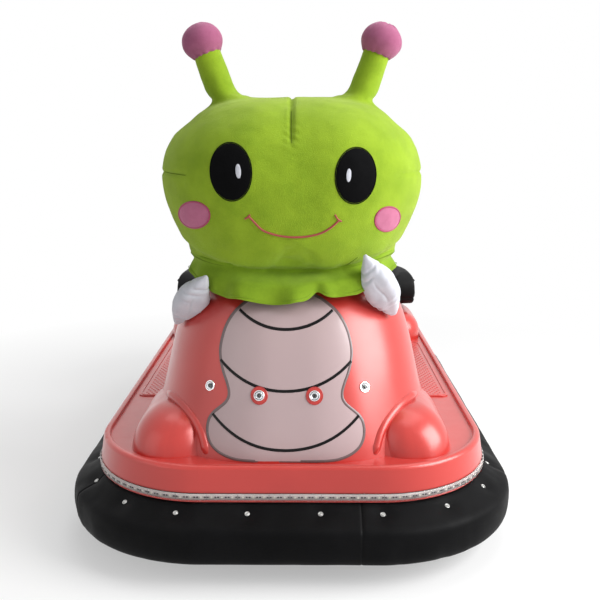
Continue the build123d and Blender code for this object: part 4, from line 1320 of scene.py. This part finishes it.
def patchOnFace(name, x, z, halfX, halfZ, tilt, lift, dome, finish):
    rings, count = patchForm["rings"], patchForm["sides"]
    turn = math.radians(tilt)
    points = [onFace(x, z, lift + dome)]
    for r in range(1, rings + 1):
        share = r / rings
        # The edge is turned under, so the last ring drops to the plush.
        high = (lift + dome * (1 - share ** 2)) if r < rings else patchForm["turnedUnder"]
        for s in range(count):
            angle = 2 * math.pi * s / count
            a, b = halfX * share * math.cos(angle), halfZ * share * math.sin(angle)
            points.append(onFace(x + a * math.cos(turn) - b * math.sin(turn),
                                 z + a * math.sin(turn) + b * math.cos(turn), high))
    addPiece(name, points, fanFaces(rings, count), finish, "car", "green_plush")
    if name in faceThreads:
        width, thread = faceThreads[name]
        edge = points[1 + (rings - 1) * count:]
        forward = Vector((0, -patchForm["edgeForward"], 0))
        stitched = [(edge[s // 2] + edge[(s // 2 + s % 2) % count]) / 2 + forward
                    for s in range(count * 2)]
        addPiece(name + "Edge", *tubeAlong(stitched, width / 2, 6, closed=True), thread, "car", "green_plush")


def threadOnFace(name, curve, width, lift, finish, sides=8):
    path = [onFace(spot.x, spot.y, lift) for spot in smoothCurve(list(curve), 10)]
    addPiece(name, *tubeAlong(path, width / 2, sides), finish, "car", "green_plush")


seams = {
    # dark threads of sewn seams, at the bottom of their grooves; their dark colour is partly the thread and partly
    # painted shade in the grooves, and on the chin it is painted shade in a crease
    "width": 0.0012, "lift": 0.0001,
    "curves": {
        "foreheadSeamShade": ((0.0010, 0.7400), (0.0010, 0.7300), (0.0012, 0.7120), (0.0016, 0.7000), (0.0024, 0.6900)),
        "sideSeamShadeLeft": ((-0.2180, 0.6405), (-0.2060, 0.6395), (-0.1900, 0.6388), (-0.1720, 0.6380)),
        "chinCreaseShadeRight": ((0.0900, 0.4850), (0.1000, 0.4930), (0.1120, 0.5020)),
    },
}


def buildFace():
    for row in facePatches:
        patchOnFace(*row)
    # Dark threads in the seams and in one chin crease: partly thread, partly painted shade
    for name, curve in seams["curves"].items():
        threadOnFace(name, curve, seams["width"], seams["lift"], "greenSeam", 6)
    width = smile["width"]
    threadOnFace("smileLine", smile["curve"], width, width * smile["lift"], "mouthThread")
    width *= smile["tickShare"]
    for number, tick in enumerate(smile["ticks"]):
        threadOnFace("smileTick%d" % number, tick, width, width * smile["lift"], "mouthThread")


buildFace()
print("face made")


# Collar: a ruffled strip sewn under the chin

collar = {
    "halfX": 0.166, "halfY": 0.145, "corner": 0.138, "middleY": -0.300,
    "columns": 260, "rows": 15, "thick": 0.0018,
    # x, height
    "seam": ((-0.190, 0.5000), (-0.160, 0.4930), (-0.131, 0.4860), (-0.069, 0.4785), (0.010, 0.4750),
             (0.065, 0.4770), (0.100, 0.4830), (0.150, 0.4950), (0.190, 0.5010)),
    "hem": ((-0.190, 0.4780), (-0.168, 0.4660), (-0.150, 0.4540), (-0.1255, 0.4410), (-0.100, 0.4350),
            (-0.060, 0.4310), (-0.002, 0.4275), (0.032, 0.4360), (0.060, 0.4400), (0.100, 0.4400),
            (0.130, 0.4520), (0.160, 0.4660), (0.190, 0.4780)),
    "hemBack": 0.4450, "hemBackFrom": (0.0, 0.8), "above": 0.60,
    "sagPower": 1.15, "flarePower": 0.75, "rufflePower": 1.4,
    "flare": 0.017, "ruffle": 0.0085, "swell": 0.0025, "lump": 0.0012, "lift": 0.0040,
    # share, waves round the collar, start, and how they shift
    "waves": ((0.55, 9, 0.6, 0.9, 2), (0.35, 14, 2.1, 0.7, 3), (0.16, 23, 0.9, 0.0, 1)),
    "fold": (0.043, 0.011, 0.009, 0.010),       # place along, width, depth, and rise of the hem
    "tuck": (-0.010, 0.007),                    # the edge under the chin: out, up
    "sewnTo": 0.5, "freeFrom": 0.15,
    "clearOut": 0.0022, "clearUp": 0.0024, "onHead": 0.0012,
    "seamShadeThread": 0.0011, "hemRoll": 0.0013, "stitch": 0.0006, "stitchUp": 0.0045,
    "flat": (0.082, 1.30), "area": 0.0920,
}


def awayFromMiddle(place):
    return Vector((place.x, place.y - collar["middleY"], 0))


def collarMiddle(height):
    return Vector((0, collar["middleY"], height))


def outsideCowl(place, clear):
    # Moves a point straight out from the collar's middle until it is clear of the cowl.
    away = awayFromMiddle(place)
    reach = away.length
    away.normalize()
    middle = collarMiddle(place.z)
    hit, normal = hitAlong(cowlSurface, middle + away * 0.5, -away)
    if hit is not None and reach < (hit - middle).length + clear:
        return middle + away * ((hit - middle).length + clear)
    return place


def aboveCowl(place, clear):
    # Behind the head the strip lies on the cowl's flat top.
    hit, normal = hitAlong(cowlSurface, Vector((place.x, place.y, collar["above"])), Vector((0, 0, -1)))
    if hit is not None and abs(normal.z) > 0.5 and place.z < hit.z + clear:
        return Vector((place.x, place.y, hit.z + clear))
    return place


def onHeadRound(place, height):
    # The spot on the head at a height, seen from outside towards the collar's middle.
    away = awayFromMiddle(place).normalized()
    hit, normal = hitAlong(headSurface, collarMiddle(height) + away * 0.5, -away)
    return hit + away * collar["onHead"] if hit is not None else place


def hangPlace(x, y, nx, ny, along, turn, t):
    # Where the cloth hangs at a share t of the way from the crease to the hem, and the crease's height.
    seam = numpy.interp(x, *zip(*collar["seam"]))
    low = numpy.interp(x, *zip(*collar["hem"]))
    if ny > 0:
        low += (collar["hemBack"] - low) * smoothStep(*collar["hemBackFrom"], ny)
    wave = sum(share * math.sin(turn * count + start + shift * math.sin(turn * shiftCount))
               for share, count, start, shift, shiftCount in collar["waves"])
    # One deep fold hangs right of the middle of the front, as in the photo.
    spot, wide, deep, rise = collar["fold"]
    fold = bell(along - spot, wide)
    if t < 0:
        out, z = collar["tuck"][0], seam + collar["tuck"][1]
    else:
        z = seam + (low - seam) * t ** collar["sagPower"] + (collar["lift"] * wave + rise * fold) * t ** 2
        out = (collar["flare"] * t ** collar["flarePower"]
               + collar["ruffle"] * wave * t ** collar["rufflePower"] - deep * fold * t)
        out += collar["swell"] * math.sin(t * math.pi)
        out += collar["lump"] * noise.noise(Vector((x * 40, y * 40, z * 40)))
    return Vector((x + nx * out, y + ny * out + collar["middleY"], z)), seam


def buildCollar():
    columns, rows = collar["columns"], collar["rows"]
    line = (collar["halfX"], collar["halfY"], collar["corner"])
    total = ringLength(*line)
    points, crease = [], []
    for r in range(rows + 1):
        t = (r - 1) / (rows - 1)
        for c in range(columns):
            along = total * c / columns
            place, seam = hangPlace(*ringPlace(along, *line), along, 2 * math.pi * c / columns, t)
            if r == 0:
                crease.append(onHeadRound(place, seam))
            if t < collar["sewnTo"]:
                sewn = crease[c] + Vector((0, 0, place.z - seam))
                place = sewn.lerp(place, smoothStep(0.0, collar["sewnTo"], t))
            if t > collar["freeFrom"]:
                place = aboveCowl(outsideCowl(place, collar["clearOut"]), collar["clearUp"])
            points.append(place)
    hem = points[-columns:]
    stitches = [p + Vector((0, 0, collar["stitchUp"])) + awayFromMiddle(p).normalized() * collar["stitch"]
                for p in hem]
    # Dark thread along the crease under the chin: partly the sewn seam, partly painted shade where the chin hangs
    # over the collar
    seamShadePiece = addPiece("bugCollarSeamShade", *tubeAlong(crease, collar["seamShadeThread"], 6, closed=True), "greenSeam",
                         "car", "green_cloth")
    strip = meshPiece("bugCollar", points, gridFaces(rows + 1, columns, wrapColumns=True), finishes["greenCloth"])
    turnOutward(strip)
    useModifier(strip, "SUBSURF", levels=1, render_levels=1)
    useModifier(strip, "SOLIDIFY", thickness=collar["thick"], offset=0.0)
    bake(strip)
    settle(strip, "car", "green_cloth", "collar")
    rolled = addPiece("bugCollarHem", *tubeAlong(hem, collar["hemRoll"], 6, closed=True), "greenCloth",
                      "car", "green_cloth")
    sewn = addPiece("bugCollarStitch", *tubeAlong(stitches, collar["stitch"], 5, closed=True), "greenCloth",
                    "car", "green_cloth")


buildCollar()
print("collar made")


# Piping on the pads, and a dark rubber edge on the rear rim of the cowl that also serves as painted shade in the gap
# beside the cowl's flank

trims = {
    "step": 2.5, "outside": 0.7, "cowlOutside": 0.8,       # degrees; where the rays start
    "pipes": (
        # piece, pad, middle, height, radius, degrees
        ("seatPiping", "seatPad", (0, 0.349), 0.2370, 0.0026, (0, 360)),
        ("backrestPiping", "backrestPad", (0, 0.400), 0.3250, 0.0028, (-104, 104)),
    ),
    "cowlEdge": 0.0042, "cowlEdgeMiddle": (0, -0.0965, 0.190), "cowlEdgeDegrees": (2, 178), "cowlEdgeSteps": 120,
    "cowlEdgeBack": 0.0010,
}


def buildTrims():
    # Piping lies where rays from outside meet the pads at one height.
    for name, pad, middle, height, radius, (first, last) in trims["pipes"]:
        surface = surfaceOf(pads[pad])
        closed = last - first >= 360
        steps = int((last - first) / trims["step"])
        path = []
        for i in range(steps if closed else steps + 1):
            turn = math.radians(first + trims["step"] * i)
            away = Vector((math.sin(turn), math.cos(turn), 0))
            path.append(hitAlong(surface, Vector((*middle, height)) + away * trims["outside"], -away)[0])
        addPiece(name, *tubeAlong([p for p in path if p is not None], radius, 8, closed=closed), "padCloth", "car",
                 "black_leathercloth")
    # Dark rubber edge round the cowl's rear rim: partly a trim, partly painted shade for the gap between the cowl's
    # flank and the tread panel
    path = []
    first, last = trims["cowlEdgeDegrees"]
    for i in range(trims["cowlEdgeSteps"] + 1):
        turn = math.radians(first + (last - first) * i / trims["cowlEdgeSteps"])
        away = Vector((math.cos(turn), 0, math.sin(turn)))
        start = Vector(trims["cowlEdgeMiddle"]) + away * trims["cowlOutside"]
        hit, normal = hitAlong(cowlSurface, start, -away)
        if hit is not None:
            path.append(hit + Vector((0, trims["cowlEdgeBack"], 0)))
    addPiece("cowlEdgeTrimShade", *tubeAlong(path, trims["cowlEdge"], 10), "tyreRubber", "car", "black_plastic")


buildTrims()
print("piping and edge rubber made")


# Tyres with grooves, hub bolts and axle nuts

running = {
    "sides": 48, "tyreDeep": 0.017, "grooveDeep": 0.0022, "grooveHalf": 0.0017, "groovePlace": 0.22,
    "shoulder": 0.3, "boltBevel": 0.8,      # shares
    "bolts": 6, "boltRadius": 0.0042, "boltTurn": 0.3, "sunk": -0.0004,
    "ring": (0.0175, 0.0165, 0.0125, 0.0115),       # radii of the raised ring round the axle
    "nutRadius": 0.0105, "rearNutGap": 0.0012, "forkNutGap": 0.011,
    # distance along the axis, share of the nut's radius
    "nut": ((0, 1.15), (0.0012, 1.15), (0.0012, 1.0), (0.0055, 1.0), (0.0061, 0.86)),
}
wheelTable = (
    # piece, tyre node, drum node, body, side of the open face, bolt circle, bolt height
    ("tyreDrive", "drive_tyre", "drive_motor_drum", "drive_wheel", (-1, 1), 0.040, 0.0018),
    ("tyreRearLeft", "rear_tyre_left", "rear_hub_left", "rear_wheel_left", (-1,), 0.028, 0.0018),
    ("tyreRearRight", "rear_tyre_right", "rear_hub_right", "rear_wheel_right", (1,), 0.028, 0.0018),
)


def tyreProfile(radius, half):
    curve, wide, deep = half / 2, running["grooveHalf"], running["grooveDeep"]
    rise = [(-half, radius - running["tyreDeep"]), (-half, radius - curve),
            (-half + curve * running["shoulder"], radius - curve * running["shoulder"]), (-half + curve, radius)]
    middle = []
    for groove in (-half * running["groovePlace"], half * running["groovePlace"]):
        floor = wide * 0.5
        middle += [(groove - wide, radius), (groove - floor, radius - deep), (groove + floor, radius - deep),
                   (groove + wide, radius)]
    return rise + middle + [(-along, out) for along, out in reversed(rise)]


def buildWheels():
    sunk, bolt, bevel = running["sunk"], running["boltRadius"], running["boltBevel"]
    for name, tyreNode, drumNode, body, sides, circle, high in wheelTable:
        low, top = boxOf(tyreNode)
        drumLow, drumTop = boxOf(drumNode)
        middle = (low + top) / 2
        profile = tyreProfile((top.z - low.z) / 2, (top.x - low.x) / 2)
        tyre = latheMesh(profile, running["sides"], middle, (1, 0, 0), closed=True)
        roundEdges(addPiece(name, *tyre, "tyreRubber", body, "tyre_rubber", tyreNode), 30)
        ring = list(zip((sunk, high, high, sunk), running["ring"]))
        parts = []
        for side in sides:
            centre = Vector((drumTop.x if side > 0 else drumLow.x, middle.y, middle.z))
            for i in range(running["bolts"]):
                turn = 2 * math.pi * i / running["bolts"] + running["boltTurn"]
                place = centre + Vector((0, circle * math.cos(turn), circle * math.sin(turn)))
                head = [(sunk, bolt), (high * bevel, bolt), (high, bolt * bevel)]
                parts.append(latheMesh(head, 6, place, (side, 0, 0)))
            parts.append(latheMesh(ring, 24, centre, (side, 0, 0), closed=True))
        addPiece(name + "Bolts", *merged(parts), "zincSteel", body, "bright_steel", smooth=False)


def buildNuts():
    # Hexagon nuts with washers on the ends of both axles.
    rearTop, (wheelLow, wheelTop) = boxOf("rear_tyre_right")[1], boxOf("drive_tyre")
    axleLow, axleTop = boxOf("rear_axle")
    for name, middle, outer, body in (
            ("rearAxleNuts", (axleLow + axleTop) / 2, rearTop.x + running["rearNutGap"], "car"),
            ("forkAxleNuts", (wheelLow + wheelTop) / 2, wheelTop.x + running["forkNutGap"], "drive_fork")):
        parts = [latheMesh(running["nut"], 6, Vector((side * outer, middle.y, middle.z)), (side, 0, 0),
                           radius=running["nutRadius"]) for side in (-1, 1)]
        addPiece(name, *merged(parts), "zincSteel", body, "bright_steel", smooth=False)


buildWheels()
buildNuts()
print("wheels made")


# Hand wheel grip and cap, dash controls, mat ribs and pedal pad

handWheel = {
    "middle": (0.0, 0.060, 0.440), "box": (0.0, -0.385476, 0.228),
    "ring": 0.100, "grip": 0.0108, "sides": 12, "bump": 0.0005, "end": 0.955,
    "arcs": ((9, 81), (99, 171), (189, 351)), "arcStep": 3,
    "capRadius": 0.0215,
    # distance along the axis, share of the cap's radius
    "cap": ((0.0075, 1.0), (0.0092, 1.0), (0.0108, 0.93), (0.0108, 0.82), (0.0100, 0.78), (0.0106, 0.70),
            (0.0122, 0.42), (0.0128, 0.10)),
    "screwCircle": 0.034,
    "screw": ((0.0032, 0.0036), (0.0052, 0.0034), (0.0060, 0.0022), (0.0052, 0.0014), (0.0050, 0.0004)),
}
controls = {
    "button": (0.105, -0.109, 0.352), "key": (-0.105, -0.109, 0.352),
    "bezel": ((-0.0010, 0.0150), (0.0025, 0.0150), (0.0040, 0.0140), (0.0040, 0.0112), (0.0020, 0.0108)),
    "press": ((0.0010, 0.0100), (0.0058, 0.0100), (0.0072, 0.0088), (0.0068, 0.0050), (0.0066, 0.0004)),
    "barrel": ((0.0010, 0.0092), (0.0050, 0.0092), (0.0060, 0.0082), (0.0060, 0.0004)),
    "slotOut": 0.0062, "slotHalves": (0.0012, 0.0052, 0.0008),
    "matStep": 0.0115, "matRibHalf": 0.0014, "matRibHigh": 0.0013, "matInset": 0.009, "sunk": 0.0002,
    "pedalPlace": (0.070, -0.165, 0.095), "pedalTilt": 32, "pedalThick": 0.0035,
    "padUp": 0.0007, "padHalves": (0.030, 0.042, 0.0009),
    "ribUp": 0.0022, "ribStep": 0.0088, "ribHalves": (0.027, 0.0016, 0.0010),
}


def boxForm(middle, across, long, up, halves):
    # Corners of a box on three directions, with its upper edges drawn in.
    points = []
    for level, inset in ((-1, 0.0), (0.5, 0.0), (1, 0.35)):
        for a, b in ((-1, -1), (1, -1), (1, 1), (-1, 1)):
            points.append(Vector(middle) + Vector(across) * a * (halves[0] - inset * halves[2])
                          + Vector(long) * b * (halves[1] - inset * halves[2]) + Vector(up) * level * halves[2])
    faces = gridFaces(3, 4, wrapColumns=True)
    faces += [(3, 2, 1, 0), (8, 9, 10, 11)]
    return points, faces


def buildHandWheel():
    middle = Vector(handWheel["middle"])
    axis = (middle - Vector(handWheel["box"])).normalized()
    across = Vector((1, 0, 0))
    down = axis.cross(across)
    sides, bump = handWheel["sides"], handWheel["bump"] / handWheel["grip"]
    parts = []
    for start, end in handWheel["arcs"]:
        steps = int((end - start) / handWheel["arcStep"])
        turns = [math.radians(start + (end - start) * i / steps) for i in range(steps + 1)]
        places = [middle + (across * math.cos(turn) + down * math.sin(turn)) * handWheel["ring"]
                  for turn in turns]
        points, faces = tubeAlong(places, handWheel["grip"], sides)
        for i, place in enumerate(places):
            share = (handWheel["end"] if i in (0, steps) else 1.0) * (1 + bump * math.cos(i * math.pi))
            for s in range(i * sides, (i + 1) * sides):
                points[s] = place + (points[s] - place) * share
        parts.append((points, faces))
    addPiece("handWheelGrip", *merged(parts), "matRubber", "hand_wheel", "black_plastic")
    addPiece("handWheelCap", *latheMesh(handWheel["cap"], 32, middle, axis, radius=handWheel["capRadius"]),
             "hubPlastic", "hand_wheel", "black_plastic")
    screws = []
    for turn in (0, math.pi / 2, math.pi):
        place = middle + (across * math.cos(turn) + down * math.sin(turn)) * handWheel["screwCircle"]
        screws.append(latheMesh(handWheel["screw"], 12, place, axis))
    addPiece("handWheelScrews", *merged(screws), "zincSteel", "hand_wheel", "bright_steel")


def buildDash():
    button, key, back = Vector(controls["button"]), Vector(controls["key"]), (0, 1, 0)
    bezels = [latheMesh(controls["bezel"], 32, place, back) for place in (button, key)]
    addPiece("dashBezels", *merged(bezels), "zincSteel", "car", "bright_steel")
    addPiece("startButton", *latheMesh(controls["press"], 28, button, back), "greenButton", "car", "black_plastic")
    slot = boxForm(key + Vector((0, controls["slotOut"], 0)), (1, 0, 0), (0, 0, 1), back, controls["slotHalves"])
    addPiece("keySwitch", *latheMesh(controls["barrel"], 28, key, back), "zincSteel", "car", "bright_steel")
    addPiece("keySlot", *slot, "blackPlastic", "car", "black_plastic", smooth=False)


def buildFootwell():
    across = Vector((1, 0, 0))
    low, top = boxOf("footwell_mat")
    inset, high, sunk = controls["matInset"], controls["matRibHigh"] / 2, controls["sunk"]
    long = top.y - low.y - 2 * inset
    count = int(long / controls["matStep"])
    halves = ((top.x - low.x) / 2 - inset, controls["matRibHalf"], high + sunk)
    level = top.z + high - sunk
    ribs = [boxForm((0, low.y + inset + long * i / count, level), across, (0, 1, 0), (0, 0, 1), halves)
            for i in range(count + 1)]
    addPiece("matRibs", *merged(ribs), "matRubber", "car", "mat_rubber", smooth=False)
    tilt = math.radians(controls["pedalTilt"])
    up = Vector((0, math.sin(tilt), math.cos(tilt)))
    long = Vector((0, math.cos(tilt), -math.sin(tilt)))
    place = Vector(controls["pedalPlace"]) + up * controls["pedalThick"]
    parts = [boxForm(place + up * controls["padUp"], across, long, up, controls["padHalves"])]
    for i in range(-4, 5):
        parts.append(boxForm(place + up * controls["ribUp"] + long * i * controls["ribStep"], across, long, up,
                             controls["ribHalves"]))
    addPiece("pedalPad", *merged(parts), "matRubber", "car", "black_plastic", smooth=False)


buildHandWheel()
buildDash()
buildFootwell()
print("controls made")


# Camera, lights and floor

camera = {
    "place": (0.0228, -1.7595, 0.7036), "pitchDown": 11.7, "turnLeft": 0.337,
    "lens": 48.0, "sensor": 36.0,
}
studio = {
    "floorHalf": 6.0, "floorRoughness": 0.9, "floorTones": (0.93, 0.90), "floorPatches": (3.0, 3.0),
    "fadeFrom": 0.45, "fadeTo": 1.5, "fadeLeast": 0.35,
    "light": 0.30,
}
lampTable = (
    # name, energy, size, place, aims at
    ("keyLight", 104.0, 1.9, (2.2, -1.0, 1.6), (0, 0, 0.4)),
    ("fillLight", 7.0, 2.0, (-2.2, -1.8, 1.5), (0, 0, 0.4)),
    ("topLight", 22.0, 2.0, (0.2, 0.3, 2.6), (0, 0, 0.4)),
)


def buildView():
    lens = bpy.data.cameras.new("photoCamera")
    lens.lens, lens.sensor_width = camera["lens"], camera["sensor"]
    eye = bpy.data.objects.new("photoCamera", lens)
    eye.location = camera["place"]
    eye.rotation_euler = (math.radians(90 - camera["pitchDown"]), 0, math.radians(camera["turnLeft"]))
    bpy.context.scene.collection.objects.link(eye)
    bpy.context.scene.camera = eye
    for name, energy, size, place, aim in lampTable:
        lamp = bpy.data.lights.new(name, "AREA")
        lamp.energy, lamp.size = energy, size
        holder = bpy.data.objects.new(name, lamp)
        holder.location = place
        holder.rotation_euler = (Vector(aim) - Vector(place)).to_track_quat("-Z", "Y").to_euler()
        bpy.context.scene.collection.objects.link(holder)


def seenDirectly(tree):
    # 1 for the rays that show the background: camera, glossy and transmission rays.
    path = newNode(tree, "LightPath")
    seen = calculate(tree, "MAXIMUM", path.outputs["Is Camera Ray"], path.outputs["Is Glossy Ray"])
    return calculate(tree, "MAXIMUM", seen, path.outputs["Is Transmission Ray"])


def showMix(tree, share, first, second):
    both = newNode(tree, "MixShader")
    for number, value in enumerate((share, first.outputs[0], second.outputs[0])):
        tree.links.new(value, both.inputs[number])
    tree.links.new(both.outputs[0], nodeOf(tree, "OUTPUT").inputs["Surface"])


def buildFloor():
    half = studio["floorHalf"]
    finish = bpy.data.materials.new("paleFloor")
    finish.use_nodes = True
    tree = finish.node_tree
    surface = nodeOf(tree, "BSDF_PRINCIPLED")
    surface.inputs["Roughness"].default_value = studio["floorRoughness"]
    light, dark = (rgb(tone, tone, tone) for tone in studio["floorTones"])
    tone = mixColour(tree, noiseAt(tree, *studio["floorPatches"]), light, dark)
    tree.links.new(tone, surface.inputs["Base Color"])
    corners = [(-half, -half, 0), (half, -half, 0), (half, half, 0), (-half, half, 0)]
    meshPiece("floor", corners, [(0, 1, 2, 3)], finish)
    # Away from the car the floor fades to plain white for the camera.
    glow = newNode(tree, "Emission")
    glow.inputs["Color"].default_value = rgb(1, 1, 1)
    far = newNode(tree, "VectorMath", operation="LENGTH")
    tree.links.new(newNode(tree, "TexCoord").outputs["Object"], far.inputs[0])
    fade = remap(tree, far.outputs["Value"], studio["fadeFrom"], studio["fadeTo"], studio["fadeLeast"], 1.0)
    showMix(tree, calculate(tree, "MULTIPLY", fade, seenDirectly(tree)), surface, glow)


def buildWorld():
    world = bpy.data.worlds.new("studio")
    bpy.context.scene.world = world
    world.use_nodes = True
    tree = world.node_tree
    light, seenWhite = nodeOf(tree, "BACKGROUND"), newNode(tree, "Background")
    for node, strength in ((light, studio["light"]), (seenWhite, 1.0)):
        node.inputs["Color"].default_value = rgb(1, 1, 1)
        node.inputs["Strength"].default_value = strength
    showMix(tree, seenDirectly(tree), light, seenWhite)


buildView()
buildFloor()
buildWorld()
bpy.context.scene.view_settings.view_transform = "Standard"
print("camera, lights and floor in place")
